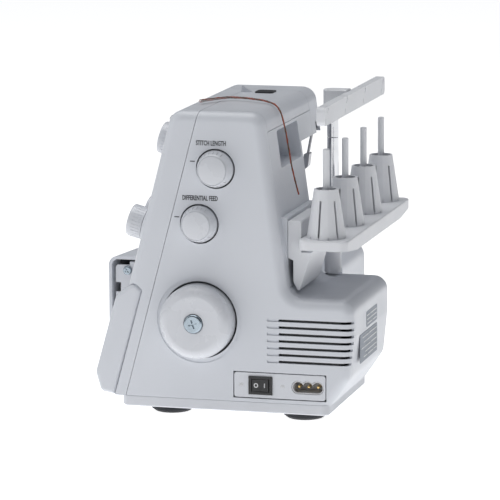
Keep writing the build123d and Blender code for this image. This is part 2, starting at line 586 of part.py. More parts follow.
def make_handwheel_screw():
    """Large cross-head screw with a domed head."""
    base = HALF_WIDTH - 1.2 - 3.4
    head = Pos(base, SHAFT_Y, SHAFT_Z) * Rot(0, 90, 0) * Pos(0, 0, 1.0) * Cylinder(SCREW_HEAD_RADIUS, 2.0)
    dome = rod_x(base + 1.9, HALF_WIDTH, SHAFT_Y, SHAFT_Z, SCREW_HEAD_RADIUS)
    dome = fillet(dome.faces().sort_by(Axis.X)[-1].edges(), 2.0)
    screw = head + dome
    for angle in (0, 90):
        slot = Pos(HALF_WIDTH, SHAFT_Y, SHAFT_Z) * Rot(angle + 20, 0, 0) * Box(3.6, 1.5, 8.5)
        screw -= slot
    return screw


def make_driven_pulley():
    half = BELT_WIDTH / 2
    disc = rod_x(BELT_X - half - 1.5, BELT_X + half + 1.5, SHAFT_Y, SHAFT_Z, DRIVEN_RADIUS + 2)
    disc -= rod_x(BELT_X - half, BELT_X + half, SHAFT_Y, SHAFT_Z, 60) - rod_x(BELT_X - half, BELT_X + half, SHAFT_Y,
                                                                              SHAFT_Z, DRIVEN_RADIUS)
    return disc - rod_x(BELT_X - 20, BELT_X + 20, SHAFT_Y, SHAFT_Z, SHAFT_RADIUS)


def make_motor():
    body = rod_x(24, 96, MOTOR_Y, MOTOR_Z, MOTOR_RADIUS)
    body = fillet(body.edges().filter_by(GeomType.CIRCLE), 3)
    body += rod_x(95, 101, MOTOR_Y, MOTOR_Z, 11)
    body += box(34, 86, MOTOR_Y - 19, MOTOR_Y + 6, FOOT_HEIGHT + PAN_FLOOR, MOTOR_Z - 15)
    return body - rod_x(80, 102, MOTOR_Y, MOTOR_Z, 3.5 + RUNNING)


def make_motor_pulley():
    half = BELT_WIDTH / 2
    pulley = rod_x(BELT_X - half - 1.5, BELT_X + half + 1.5, MOTOR_Y, MOTOR_Z, MOTOR_PULLEY_RADIUS + 2)
    pulley -= rod_x(BELT_X - half, BELT_X + half, MOTOR_Y, MOTOR_Z, 30) - rod_x(BELT_X - half, BELT_X + half, MOTOR_Y,
                                                                               MOTOR_Z, MOTOR_PULLEY_RADIUS)
    return pulley + rod_x(82, BELT_X, MOTOR_Y, MOTOR_Z, 3.5)


def make_drive_belt():
    """Two arcs and two tangent runs round both pulleys."""
    def loop(extra):
        big, small = DRIVEN_RADIUS + extra, MOTOR_PULLEY_RADIUS + extra
        hull = make_hull((Pos(SHAFT_Y, SHAFT_Z) * Circle(big)).edges() + (Pos(MOTOR_Y, MOTOR_Z) * Circle(small)).edges())
        return hull
    ring = loop(0.3 + BELT_THICK) - loop(0.3)
    half = BELT_WIDTH / 2 - 0.4
    return extrude(Plane.YZ.offset(BELT_X - half) * ring, amount=2 * half)


# ---------------------------------------------------------------- dials, switch and inlet
def make_side_dial(y, z):
    """Tapered skirt, thin parting line, slightly domed cap, and a shaft into the frame."""
    rear = RIGHT_X - 5
    front = RIGHT_X + DIAL_HEIGHT
    cap = DIAL_CAP_RADIUS
    with BuildSketch(Plane.XZ) as section:
        with BuildLine():
            Polyline((front, 1), (front, 0), (112, 0), (112, 4), (rear, 4), (rear, DIAL_RADIUS), (RIGHT_X + 1.5, DIAL_RADIUS),
                     (front - 3.4, cap + 1.6), (front - 1.6, cap + 0.5), (front - 2.2, cap + 0.2), (front - 1.2, cap - 0.2))
            ThreePointArc((front - 1.2, cap - 0.2), (front - 0.4, cap * 0.55), (front, 1))
        make_face()
    return Pos(0, y, z) * revolve(section.sketch, Axis.X)


def make_tension_dial(x, z):
    place = leaning_plane(x, z, TENSION_COLLAR + 0.8)
    knob = Pos(0, 0, TENSION_HEIGHT / 2) * Cylinder(TENSION_RADIUS, TENSION_HEIGHT)
    knob = fillet(knob.faces().sort_by(Axis.Z)[-1].edges(), 2.0)
    knob -= Pos(0, 0, 1.5) * Cylinder(10, 3.1)
    knob -= Pos(0, 0, 4) * Cylinder(3 + RUNNING, 14)
    for index in range(30):
        groove = Rot(0, 0, index * 12) * Pos(TENSION_RADIUS + 0.15, 0, 5.6) * Cylinder(0.55, 9.2)
        knob -= groove
    return place * knob


def tension_set(shape):
    """The same small piece behind each of the four tension dials."""
    return Compound(children=[leaning_plane(x, z, 0) * shape for x, z in TENSION_PLACES])


def make_tension_studs():
    stud = Pos(0, 0, -2) * Cylinder(3, 26) + Pos(0, 0, -14) * Cylinder(7, 3)
    return tension_set(stud)


def make_tension_discs():
    disc = Pos(0, 0, 0) * Cylinder(9, 1.0) - Cylinder(3.2, 4)
    pair = Pos(0, 0, -1.4) * disc + Pos(0, 0, 0.2) * disc
    return tension_set(pair)


def make_tension_springs():
    coil = Helix(pitch=1.7, height=5.1, radius=6)
    wire = sweep(Plane(origin=coil @ 0, z_dir=coil % 0) * Circle(0.45), path=coil)
    return tension_set(Pos(0, 0, 1.4) * wire)


def make_power_panel():
    front = RIGHT_X - 0.2
    panel = box(front - 3, front, PANEL_FRONT_Y + 0.9, PANEL_REAR_Y - 0.9, PANEL_LOW_Z + 0.9, PANEL_TOP_Z - 0.9)
    panel = fillet(panel.edges().filter_by(Axis.X), 2.5)
    middle = (PANEL_LOW_Z + PANEL_TOP_Z) / 2
    panel -= box(front - 5, front + 5, SWITCH_Y - SWITCH_WIDTH / 2 + 1, SWITCH_Y + SWITCH_WIDTH / 2 - 1,
                 middle - SWITCH_HEIGHT / 2 + 1, middle + SWITCH_HEIGHT / 2 - 1)
    panel -= inlet_shape(front - 5, front + 5, 0)
    return panel


def inlet_shape(x0, x1, grow):
    """Three round lobes in a row, joined along their lower half."""
    middle = (PANEL_LOW_Z + PANEL_TOP_Z) / 2
    lobe = INLET_HEIGHT / 2 - 0.6 + grow
    first, last = INLET_PIN_PLACES[0], INLET_PIN_PLACES[-1]
    shape = box(x0, x1, first, last, middle - lobe, middle)
    for y in INLET_PIN_PLACES:
        shape += rod_x(x0, x1, y, middle, lobe)
    return shape


def make_switch_frame():
    front = RIGHT_X + 0.9
    middle = (PANEL_LOW_Z + PANEL_TOP_Z) / 2
    half_w, half_h = SWITCH_WIDTH / 2, SWITCH_HEIGHT / 2
    frame = box(front - 1.1, front, SWITCH_Y - half_w, SWITCH_Y + half_w, middle - half_h, middle + half_h)
    frame += box(front - 16, front - 1, SWITCH_Y - half_w + 1.2, SWITCH_Y + half_w - 1.2, middle - half_h + 1.2,
                 middle + half_h - 1.2)
    frame -= box(front - 14, front + 2, SWITCH_Y - half_w + 2.8, SWITCH_Y + half_w - 2.8, middle - half_h + 2.6,
                 middle + half_h - 2.6)
    return frame - rod_z(middle - half_h + 1, middle + half_h - 1, ROCKER_PIVOT_X, SWITCH_Y, SWITCH_PIN_RADIUS + RUNNING)


def make_rocker():
    """Rocker seen from above as a shallow V, pivoted about a vertical pin."""
    front = RIGHT_X + 0.9
    middle = (PANEL_LOW_Z + PANEL_TOP_Z) / 2
    half_w = SWITCH_WIDTH / 2 - 3.8
    half_h = SWITCH_HEIGHT / 2 - 3.0
    outline = Polyline((front - 6, SWITCH_Y - half_w + 1.2), (front + 1.0, SWITCH_Y - half_w), (front - 0.6, SWITCH_Y),
                       (front - 0.2, SWITCH_Y + half_w), (front - 6, SWITCH_Y + half_w - 1.2), close=True)
    rocker = extrude(Plane.XY.offset(middle - half_h) * make_face(outline), amount=2 * half_h)
    reach = SWITCH_HEIGHT / 2 - 1.2
    return rocker + rod_z(middle - reach, middle + reach, ROCKER_PIVOT_X, SWITCH_Y, SWITCH_PIN_RADIUS)


def make_inlet():
    front = RIGHT_X - 0.8
    cup = inlet_shape(front - 17, front, -FIT) - inlet_shape(front - 15.5, front + 1, -FIT - 1.0)
    for y in INLET_PIN_PLACES:
        cup -= rod_x(front - 18, front, y, (PANEL_LOW_Z + PANEL_TOP_Z) / 2, INLET_PIN_RADIUS)
    return cup


def make_inlet_pins():
    middle = (PANEL_LOW_Z + PANEL_TOP_Z) / 2
    pins = []
    for y in INLET_PIN_PLACES:
        pin = rod_x(RIGHT_X - 20, RIGHT_X - 4, y, middle, INLET_PIN_RADIUS)
        pins.append(fillet(pin.faces().sort_by(Axis.X)[-1].edges(), 1.0))
    return Compound(children=pins)


# ---------------------------------------------------------------- looper cover
def looper_block(inset, reach):
    """Tapered hollow front cover, seen from above; reach opens its right end and its rear."""
    front_right = -HALF_DEPTH + inset - reach * LOOPER_TAPER
    right = LOOPER_RIGHT_X + reach
    left = -HALF_WIDTH + inset
    front_left = front_right + (right - left) * LOOPER_TAPER
    rear = LOOPER_REAR_Y + reach
    plan = FilletPolyline((right, front_right), (left, front_left), (left, rear), (right, rear),
                          radius=[0, 16 - inset, 0, 0], close=True)
    low = LOOPER_LOW_Z - reach
    block = extrude(Plane.XY.offset(low) * make_face(plan), amount=LOOPER_TOP_Z - inset - low)
    top = block.faces().sort_by(Axis.Z)[-1]
    rim = [e for e in top.edges() if e.center().Y < rear - 1 and e.center().X < right - 1]
    rim = [e for e in rim if e.center().X > left + 1 or e.center().Y < rear - 1]
    return fillet(rim, 9 - inset)


def make_looper_cover():
    cover = looper_block(0, 0) - looper_block(LOOPER_WALL, 12)
    for x in (HINGE_LUGS[0] + 14, HINGE_LUGS[1] - 16):
        wall_y = -HALF_DEPTH + (LOOPER_RIGHT_X - x) * LOOPER_TAPER + LOOPER_WALL / 2
        cover += box(x - 4, x + 4, wall_y, HINGE_Y, HINGE_Z - 5, HINGE_Z + 5)
        cover += rod_x(x - 4, x + 4, HINGE_Y, HINGE_Z, 5)
        cover -= rod_x(x - 5, x + 5, HINGE_Y, HINGE_Z, HINGE_RADIUS + RUNNING)
    return cover


def make_hinge_rod():
    return rod_x(HINGE_LUGS[0] - 14, HINGE_LUGS[1] + 10, HINGE_Y, HINGE_Z, HINGE_RADIUS)


def make_looper_bracket():
    """End plate that carries the looper cover's stop, with a notch in its front edge."""
    front = -HALF_DEPTH + 6.2
    low, high = SKIRT_Z + 6, BED_TOP_Z - 6
    x0, x1 = BRACKET_SPAN
    points = [(front, low), (front, high), (-78, high), (-66, high - 16), (-58, high - 22), (-58, low)]
    plate = prism_x(points, [2, 3, 4, 3, 2, 2], x0, x1)
    plate -= box(x0 - 1, x1 + 1, front - 1, front + 5.2, high - 27, high - 17.5)
    plate -= rod_x(x0 - 1, x1 + 1, BRACKET_SCREW[0], BRACKET_SCREW[1], 2)
    plate += box(x0, x1 + 0.6, -117, -112, high - 0.1, high + 3.4)
    return plate


def cross_screw_x(x, y, z, radius):
    """Pan-head cross screw along X, head towards the right."""
    head = rod_x(x, x + 2.2, y, z, radius)
    head = fillet(head.faces().sort_by(Axis.X)[-1].edges(), 1.2)
    head += rod_x(x - 6, x + 0.1, y, z, 2)
    for angle in (0, 90):
        head -= Pos(x + 2.2, y, z) * Rot(angle + 35, 0, 0) * Box(2.2, 1.1, radius * 1.2)
    return head


# ---------------------------------------------------------------- sewing parts
def make_needle_bar():
    return rod_z(NOSE_UNDER_Z - 12, ROOF_Z - 28, NEEDLE_X, NEEDLE_Y, BAR_RADIUS)


def make_needle_clamp():
    top = NOSE_UNDER_Z - 8
    clamp = box(NEEDLE_X - 5.5, NEEDLE_X + 5.5, NEEDLE_Y - 5.5, NEEDLE_Y + 5.5, top - 11, top)
    clamp = fillet(clamp.edges().filter_by(Axis.Z), 2)
    clamp += rod_y(NEEDLE_Y - 11, NEEDLE_Y - 5, NEEDLE_X, top - 5, 2.6)
    return clamp - rod_z(top - 5, top + 1, NEEDLE_X, NEEDLE_Y, BAR_RADIUS)


def make_needles():
    needles = []
    for shift in (-2.2, 2.2):
        high = NOSE_UNDER_Z - 19
        needle = rod_z(high - 10, high, NEEDLE_X + shift, NEEDLE_Y, 0.9) + rod_z(high - 28, high - 10, NEEDLE_X + shift,
                                                                                  NEEDLE_Y, 0.45)
        point = Pos(NEEDLE_X + shift, NEEDLE_Y, high - 30) * Cone(0.08, 0.45, 4)
        needles.append(needle + point)
    return Compound(children=needles)


def make_needle_rocker():
    """Shaft along the head with an arm and a pin that reaches the needle bar."""
    tip = Pos(0, ROCKER_Y, ROCKER_Z) * Rot(-ROCKER_REST, 0, 0)
    arm = box(-20, -14, -ROCKER_ARM, 0, -3.5, 3.5)
    arm += rod_x(-20, -14, -ROCKER_ARM, 0, 4.5)
    arm += rod_x(NEEDLE_X + BAR_RADIUS + 2 * FIT, -18, -ROCKER_ARM, 0, 2)
    rocker = rod_x(-20, 22, ROCKER_Y, ROCKER_Z, ROCKER_RADIUS)
    return rocker + rod_x(-20, -14, ROCKER_Y, ROCKER_Z, 6) + tip * arm


def make_presser_bar():
    bar = rod_z(BED_TOP_Z + 24, ROOF_Z - 28, PRESSER_X, PRESSER_Y, BAR_RADIUS)
    return bar + rod_z(SPRING_LOW_Z - 3, SPRING_LOW_Z - 0.3, PRESSER_X, PRESSER_Y, 6)


def make_presser_spring():
    height = SPRING_HIGH_Z - SPRING_LOW_Z - 1.4
    coil = Helix(pitch=height / 8, height=height, radius=5.2)
    wire = sweep(Plane(origin=coil @ 0, z_dir=coil % 0) * Circle(0.6), path=coil)
    return Pos(PRESSER_X, PRESSER_Y, SPRING_LOW_Z + 0.7) * wire


def make_presser_foot():
    """Ankle on the bar, sole with a turned-up toe, slot for the needles."""
    low = BED_TOP_Z + 1.2
    outline = Polyline((NEEDLE_Y - 16, low + 5.5), (NEEDLE_Y - 16, low + 3.6), (NEEDLE_Y - 8, low), (PRESSER_Y + 8, low),
                       (PRESSER_Y + 8, low + 2.4), (NEEDLE_Y - 7, low + 2.4), close=True)
    sole = extrude(Plane.YZ.offset(PRESSER_X - 11) * make_face(outline), amount=22)
    sole -= box(NEEDLE_X - 4.5, NEEDLE_X + 4.5, NEEDLE_Y - 2.5, NEEDLE_Y + 2.5, 0, 200)
    sole += box(PRESSER_X - 3.5, PRESSER_X + 3.5, PRESSER_Y - 6, PRESSER_Y + 6, low + 2, BED_TOP_Z + 24)
    ankle = rod_z(BED_TOP_Z + 18, BED_TOP_Z + 31, PRESSER_X, PRESSER_Y, 6)
    ankle -= rod_z(BED_TOP_Z + 24, BED_TOP_Z + 32, PRESSER_X, PRESSER_Y, BAR_RADIUS)
    return sole + ankle


def make_lifter_lever():
    """Bent wire lever with a flat moulded paddle, hung from a pivot in the head."""
    points = [(LIFTER_PIVOT_Y, LIFTER_PIVOT_Z), (LIFTER_PIVOT_Y + 4, LIFTER_PIVOT_Z - 12), (LIFTER_PIVOT_Y, LIFTER_PIVOT_Z - 33)]
    path = FilletPolyline(*[(LIFTER_X, y, z) for y, z in points], radius=[6])
    wire = sweep(Plane(origin=path @ 0, z_dir=path % 0) * Circle(1.5), path=path)
    y, z = points[-1]
    outline = Polyline((y - 2.6, z + 2), (y + 3, z + 3), (y + 1.4, z - 10), (y - 1.2, z - 13), (y - 4.6, z - 11), close=True)
    paddle = extrude(Plane.YZ.offset(LIFTER_X - 5) * make_face(outline), amount=10)
    paddle = fillet(paddle.edges().filter_by(Axis.X), 0.8)
    return wire + paddle + rod_x(LIFTER_X - 6, LIFTER_X + 6, LIFTER_PIVOT_Y, LIFTER_PIVOT_Z, 3)


def make_feed_dogs():
    """Two toothed rows on one cross bar."""
    top = BED_TOP_Z + 0.9
    front, rear = NEEDLE_Y + 8, NEEDLE_Y + 40
    dogs = box(FEED_ROWS[0] - 1.8, FEED_ROWS[1] + 1.8, front + 6, rear - 6, BED_TOP_Z - 16, BED_TOP_Z - 12)
    for x in FEED_ROWS:
        row = box(x - 1.8, x + 1.8, front, rear, BED_TOP_Z - 14, top)
        for index in range(15):
            y = front + 1.6 + index * 2.1
            row -= Pos(x, y, top + 0.25) * Rot(45, 0, 0) * Box(6, 1.1, 1.1)
        dogs += row
    return dogs


def make_looper(index, blade, rear):
    """Looper: shaft along Y, and an arm in the XZ plane that ends in a tapered blade."""
    x, z = LOOPER_SHAFTS[index]
    arm = extrude(Plane.XZ.offset(-rear) * make_face(Polyline(*blade, close=True)), amount=3)
    return arm + rod_y(-66, rear, x, z, LOOPER_SHAFT_RADIUS) + rod_y(rear - 4, rear, x, z, 7)


def make_upper_knife():
    """Arm on a cross pin, with a flat blade that passes up through the needle plate."""
    x0, x1 = KNIFE_X - 3, KNIFE_X + 3
    arm = box(x0, x1, KNIFE_Y - 12, KNIFE_Y - 6, KNIFE_Z - 4, BED_TOP_Z - 10)
    arm += box(x0, x1, KNIFE_Y - 12, KNIFE_Y + 4, KNIFE_Z - 4, KNIFE_Z + 4)
    arm += rod_x(x0, 4, KNIFE_Y, KNIFE_Z, 3)
    return arm + box(KNIFE_X - 1, KNIFE_X + 1, KNIFE_Y - 10, KNIFE_Y + 10, BED_TOP_Z - 12, BED_TOP_Z + 4)


def make_lower_knife():
    """Fixed blade beside the upper knife, with a foot that is screwed to the frame's block."""
    blade = box(KNIFE_X + 1.4, KNIFE_X + 2.8, KNIFE_Y + 1, KNIFE_Y + 12, BED_TOP_Z - 24, BED_TOP_Z + 0.3)
    return blade + box(KNIFE_X + 1.4, KNIFE_X + 4, KNIFE_Y + 1, KNIFE_Y + 5, BED_TOP_Z - 24, BED_TOP_Z - 15)


# ---------------------------------------------------------------- thread stand
def make_tray_bracket():
    """Hollow wedge on the column's rear that carries the tray."""
    front = LEDGE_Y + SEAM
    low = HOUSING_TOP_Z + 6
    under = TRAY_TOP_Z - TRAY_DEPTH - FIT
    points = [(front, TRAY_TOP_Z + 15.5), (front, TRAY_TOP_Z - 20), (front + 5, TRAY_TOP_Z - 22), (front + 5, low + 8),
              (front + 9, low), (front + 11, low), (TRAY_FRONT_Y + 9, under), (TRAY_FRONT_Y - FIT, under),
              (TRAY_FRONT_Y - FIT, TRAY_TOP_Z + 15.5)]
    outline = make_face(FilletPolyline(*points, radius=[1, 1, 1, 5, 1, 1, 0, 0, 2], close=True))
    x0, x1 = TRAY_BRACKET_SPAN
    block = extrude(Plane.YZ.offset(x0) * outline, amount=x1 - x0)
    inner = extrude(Plane.YZ.offset(x0 + WALL) * offset(outline, amount=-WALL), amount=x1 - x0 - 2 * WALL)
    return block - inner - Pos(0, -4, 0) * inner


def make_tray():
    """Moulded tray: top plate, skirt that is deeper along the middle, bosses for the pins and the pole."""
    block = box(-TRAY_HALF_LENGTH, TRAY_HALF_LENGTH, TRAY_FRONT_Y, TRAY_REAR_Y, TRAY_TOP_Z - TRAY_DEPTH, TRAY_TOP_Z)
    block = fillet(block.edges().filter_by(Axis.Z), 8)
    for side in (-1, 1):
        end = side * TRAY_HALF_LENGTH
        wedge = Polyline((end + side, TRAY_TOP_Z - TRAY_END_DEPTH), (end - side * 4, TRAY_TOP_Z - TRAY_END_DEPTH),
                         (end - side * 44, TRAY_TOP_Z - TRAY_DEPTH), (end - side * 44, TRAY_TOP_Z - TRAY_DEPTH - 5),
                         (end + side, TRAY_TOP_Z - TRAY_DEPTH - 5), close=True)
        cut = extrude(Plane.XZ.offset(-TRAY_REAR_Y - 5) * make_face(wedge), amount=TRAY_REAR_Y - TRAY_FRONT_Y + 10)
        block -= cut
    block = fillet(block.faces().sort_by(Axis.Z)[-1].edges(), 1.6)
    wall = 2.6
    block -= box(-TRAY_HALF_LENGTH + wall, TRAY_HALF_LENGTH - wall, TRAY_FRONT_Y + wall, TRAY_REAR_Y - wall,
                 TRAY_TOP_Z - TRAY_DEPTH - 1, TRAY_TOP_Z - 3)
    block += rod_z(TRAY_TOP_Z - TRAY_DEPTH, TRAY_TOP_Z + 3, 0, POLE_Y, SLEEVE_RADIUS + 3.5)
    block += rod_z(HOUSING_TOP_Z + 2.5, TRAY_TOP_Z - TRAY_DEPTH + 1, 0, POLE_Y, SLEEVE_RADIUS)
    block -= rod_z(HOUSING_TOP_Z, TRAY_TOP_Z + 4, 0, POLE_Y, POLE_RADIUS)
    for x in PIN_PLACES:
        block += rod_z(TRAY_TOP_Z - TRAY_END_DEPTH, TRAY_TOP_Z - 2, x, PIN_Y, PIN_RADIUS + 2.5)
        block -= rod_z(TRAY_TOP_Z - TRAY_END_DEPTH - 1, TRAY_TOP_Z + 1, x, PIN_Y, PIN_RADIUS)
    return block


def make_cone_holders():
    cones = []
    outer = Pos(0, 0, CONE_HEIGHT / 2) * Cone(CONE_BASE_RADIUS, CONE_TOP_RADIUS, CONE_HEIGHT)
    inner = Pos(0, 0, CONE_HEIGHT / 2 - 0.5) * Cone(CONE_BASE_RADIUS - CONE_WALL, CONE_TOP_RADIUS - CONE_WALL,
                                                    CONE_HEIGHT + 1.2)
    cone = outer - inner
    hub = Pos(0, 0, CONE_HEIGHT / 2) * Cylinder(PIN_RADIUS + 1.8, CONE_HEIGHT - 3)
    webs = Pos(0, 0, CONE_HEIGHT / 2) * Box(2 * CONE_TOP_RADIUS - 1, 1.6, CONE_HEIGHT - 3)
    webs += Rot(0, 0, 90) * webs
    cone += hub + webs
    cone -= Pos(0, 0, CONE_HEIGHT / 2) * Cylinder(PIN_RADIUS + 0.05, CONE_HEIGHT + 4)
    for index in range(6):
        slot = Rot(0, 0, 30 + index * 60) * Pos(CONE_BASE_RADIUS - 3, 0, 19) * Box(12, 2.0, 34)
        cone -= slot
    for index in range(12):
        rib = Rot(0, 0, index * 30) * Pos(CONE_BASE_RADIUS, 0, 1.2) * Box(3, 1.2, 2.4)
        cone -= rib
    for x in PIN_PLACES:
        cones.append(Pos(x, PIN_Y, TRAY_TOP_Z) * Rot(0, 0, 20) * cone)
    return Compound(children=cones)


def make_spool_pins():
    pins = []
    for x in PIN_PLACES:
        pin = rod_z(TRAY_TOP_Z - TRAY_END_DEPTH, PIN_TOP_Z, x, PIN_Y, PIN_RADIUS)
        pins.append(fillet(pin.faces().sort_by(Axis.Z)[-1].edges(), 1.2))
    return Compound(children=pins)


def make_pole_tube():
    low = HOUSING_TOP_Z + 12
    tube = rod_z(low, POLE_JOINT_Z, 0, POLE_Y, POLE_RADIUS)
    return tube - rod_z(low + 4, POLE_JOINT_Z + 1, 0, POLE_Y, ROD_RADIUS + RUNNING)


def make_pole_rod():
    rod = rod_z(HOUSING_TOP_Z + 18, ARM_TOP_Z - 3, 0, POLE_Y, ROD_RADIUS)
    collar = rod_z(POLE_JOINT_Z + 0.5, BAR_LOW_Z + 2, 0, POLE_Y, POLE_RADIUS)
    return rod + fillet(collar.faces().sort_by(Axis.Z)[0].edges(), 0.6)


def make_guide_bar():
    """Thread guide bar with an arm to the pole; each station has a hook slit and a small slit."""
    high = BAR_LOW_Z + BAR_HEIGHT
    outline = RectangleRounded(2 * BAR_HALF_LENGTH, BAR_HEIGHT, 5)
    middle = (BAR_LOW_Z + high) / 2
    bar = extrude(Plane(origin=(0, BAR_FRONT_Y, middle), x_dir=(1, 0, 0), z_dir=(0, -1, 0)) * outline,
                  amount=-(BAR_REAR_Y - BAR_FRONT_Y))
    arm_low = BAR_LOW_Z + 2.4
    arm = box(-9, 9, POLE_Y, BAR_FRONT_Y + 1, arm_low, ARM_TOP_Z) + rod_z(arm_low, ARM_TOP_Z, 0, POLE_Y, 9)
    arm = fillet(arm.faces().sort_by(Axis.Z)[-1].edges(), 1.5)
    bar = bar + arm
    bar -= rod_z(arm_low - 1, ARM_TOP_Z - 3 + FIT, 0, POLE_Y, ROD_RADIUS + RUNNING)
    for x in PIN_PLACES:
        hook = Pos(x - 1.5, 0, high - 3.4) * Rot(0, -28, 0) * Box(1.5, 400, 6.5)
        nick = Pos(x - 3.4, 0, high - 1.5) * Rot(0, 35, 0) * Box(1.5, 400, 6)
        small = Pos(x + 5.5, 0, BAR_LOW_Z + 4.4) * Rot(0, -15, 0) * Box(1.5, 400, 4.6)
        limit = box(-200, 200, BAR_FRONT_Y - 1, BAR_REAR_Y + 1, 0, 400)
        bar -= (hook + nick + small) & limit
    return bar


# ---------------------------------------------------------------- small fittings on the casing
def make_thread_guides():
    """Bent wire guides along the roof's front edge, one over each tension dial."""
    guides = []
    for x in GUIDE_PLACES:
        place = leaning_plane(x, ROOF_Z - 19, 0)
        foot = Pos(0, 0, 0.8) * Box(9, 7, 1.6)
        loop = Pos(0, 3, 5.5) * Rot(0, 90, 0) * Torus(4.2, 0.7)
        guides.append(place * (foot + loop))
    return Compound(children=guides)


def make_roof_fin():
    x, y = ROOF_FIN
    points = [(y - 6, ROOF_Z - 1), (y - 5, ROOF_Z + 6.5), (y + 7, ROOF_Z - 1)]
    return extrude(Plane.YZ.offset(x) * make_face(Polyline(*points, close=True)), amount=3)


def make_casing_screws():
    """Cross-head screws that close the casing and hold the needle plate."""
    screws = []
    for x, y in PLATE_SCREWS:
        top = BED_TOP_Z + 0.4
        head = rod_z(top, top + 1.4, x, y, 3.6) + rod_z(top - 8, top + 0.1, x, y, 2.0)
        head -= Pos(x, y, top + 1.4) * Box(5, 1, 1.4)
        screws.append(head)
    screws.append(cross_screw_x(BRACKET_SPAN[1], BRACKET_SCREW[0], BRACKET_SCREW[1], 4.4))
    return Compound(children=screws)


# ---------------------------------------------------------------- loose thread
def make_thread_tail():
    """Bundle of sewing threads over the roof, down the column's rear, ending in a loose curl."""
    points = THREAD_ROUTE
    runs = [(Vector(*b) - Vector(*a)).length for a, b in zip(points, points[1:])]
    radii = []
    for index in range(1, len(points) - 1):
        before = Vector(*points[index]) - Vector(*points[index - 1])
        after = Vector(*points[index + 1]) - Vector(*points[index])
        half_turn = radians(before.get_angle(after)) / 2
        radii.append(0.45 * min(runs[index - 1], runs[index]) / tan(half_turn))
    print("thread radii", [round(r, 2) for r in radii])
    print("thread length", round(sum(runs), 1))
    path = FilletPolyline(*points, radius=radii)
    return sweep(Plane(origin=path @ 0, z_dir=path % 0) * Circle(THREAD_RADIUS), path=path)


# ---------------------------------------------------------------- all pieces
shell = make_shell()
rest = shell - half_space_front(SEAM_TOP_Y + SEAM / 2, SEAM_SLOPE, -200, 200, 0)

pieces = {
    "base_pan": make_base_pan(),
    "rubber_feet": make_feet(),
    "main_frame": make_main_frame(),
    "shaft_bearings": make_bearings(),
    "motor": make_motor(),
    "motor_pulley": make_motor_pulley(),
    "drive_belt": make_drive_belt(),
    "main_shaft": make_main_shaft(),
    "driven_pulley": make_driven_pulley(),
    "handwheel": make_handwheel(),
    "handwheel_screw": make_handwheel_screw(),
    "right_cover": make_right_cover(rest),
    "front_cover": make_front_cover(shell),
    "top_cover": make_top_cover(rest),
    "rear_cover": make_rear_cover(rest),
    "motor_cover": make_motor_cover(rest),
    "head_end_cover": make_end_cover(shell),
    "lower_front_cover": make_lower_front_cover(),
    "bed_cover": make_bed_cover(),
    "needle_plate": make_needle_plate(),
    "looper_cover": make_looper_cover(),
    "cover_hinge_rod": make_hinge_rod(),
    "looper_bracket": make_looper_bracket(),
    "casing_screws": make_casing_screws(),
    "stitch_dial": make_side_dial(STITCH_Y, STITCH_Z),
    "feed_dial": make_side_dial(FEED_Y, FEED_Z),
    "tension_studs": make_tension_studs(),
    "tension_discs": make_tension_discs(),
    "tension_springs": make_tension_springs(),
    "power_panel": make_power_panel(),
    "switch_frame": make_switch_frame(),
    "switch_rocker": make_rocker(),
    "inlet_socket": make_inlet(),
    "inlet_pins": make_inlet_pins(),
    "needle_bar": make_needle_bar(),
    "needle_clamp": make_needle_clamp(),
    "needles": make_needles(),
    "needle_rocker": make_needle_rocker(),
    "presser_bar": make_presser_bar(),
    "presser_spring": make_presser_spring(),
    "presser_foot": make_presser_foot(),
    "lifter_lever": make_lifter_lever(),
    "feed_dogs": make_feed_dogs(),
    "lower_looper": make_looper(0, LOWER_LOOPER_BLADE, LOWER_LOOPER_Y),
    "upper_looper": make_looper(1, UPPER_LOOPER_BLADE, UPPER_LOOPER_Y),
    "upper_knife": make_upper_knife(),
    "lower_knife": make_lower_knife(),
    "tray_bracket": make_tray_bracket(),
    "spool_tray": make_tray(),
    "cone_holders": make_cone_holders(),
    "spool_pins": make_spool_pins(),
    "pole_tube": make_pole_tube(),
    "pole_rod": make_pole_rod(),
    "guide_bar": make_guide_bar(),
    "thread_guides": make_thread_guides(),
    "thread_tail": make_thread_tail(),
}
for number, (x, z) in enumerate(TENSION_PLACES, start=1):
    pieces["tension_dial_" + str(number)] = make_tension_dial(x, z)

for name, shape in pieces.items():
    export_step(shape, "parts/" + name + ".step")
print("pieces", len(pieces))
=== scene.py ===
import bpy
import numpy as np
from mathutils import Matrix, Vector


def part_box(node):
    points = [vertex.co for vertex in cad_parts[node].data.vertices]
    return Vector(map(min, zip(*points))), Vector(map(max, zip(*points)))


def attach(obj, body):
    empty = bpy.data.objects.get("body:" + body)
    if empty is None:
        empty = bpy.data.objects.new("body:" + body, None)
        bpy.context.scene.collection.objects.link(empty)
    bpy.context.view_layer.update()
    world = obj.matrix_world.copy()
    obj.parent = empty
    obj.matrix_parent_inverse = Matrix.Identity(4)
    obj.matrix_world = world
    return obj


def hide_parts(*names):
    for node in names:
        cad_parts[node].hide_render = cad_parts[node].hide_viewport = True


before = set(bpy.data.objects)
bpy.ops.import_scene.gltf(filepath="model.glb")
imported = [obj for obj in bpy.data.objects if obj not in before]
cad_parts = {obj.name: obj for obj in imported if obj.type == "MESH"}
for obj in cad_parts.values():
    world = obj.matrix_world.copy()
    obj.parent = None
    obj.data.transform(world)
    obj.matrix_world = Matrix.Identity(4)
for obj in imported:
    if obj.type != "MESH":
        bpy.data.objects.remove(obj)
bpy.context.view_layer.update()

# ------------------------------------------------------------------ camera, light and floor
# A long lens from the operator's right and a little behind, ten degrees above the table.
# A big soft light overhead brightens the roof, and the white floor and dim cool room fill the rest.
lens = bpy.data.cameras.new("view")
lens.lens = 244.8
lens.sensor_width = 36.0
lens.clip_end = 50.0
back = np.array([0.94991, 0.25986, 0.17365])
across = np.array([-0.26387, 0.96456, 0.0])
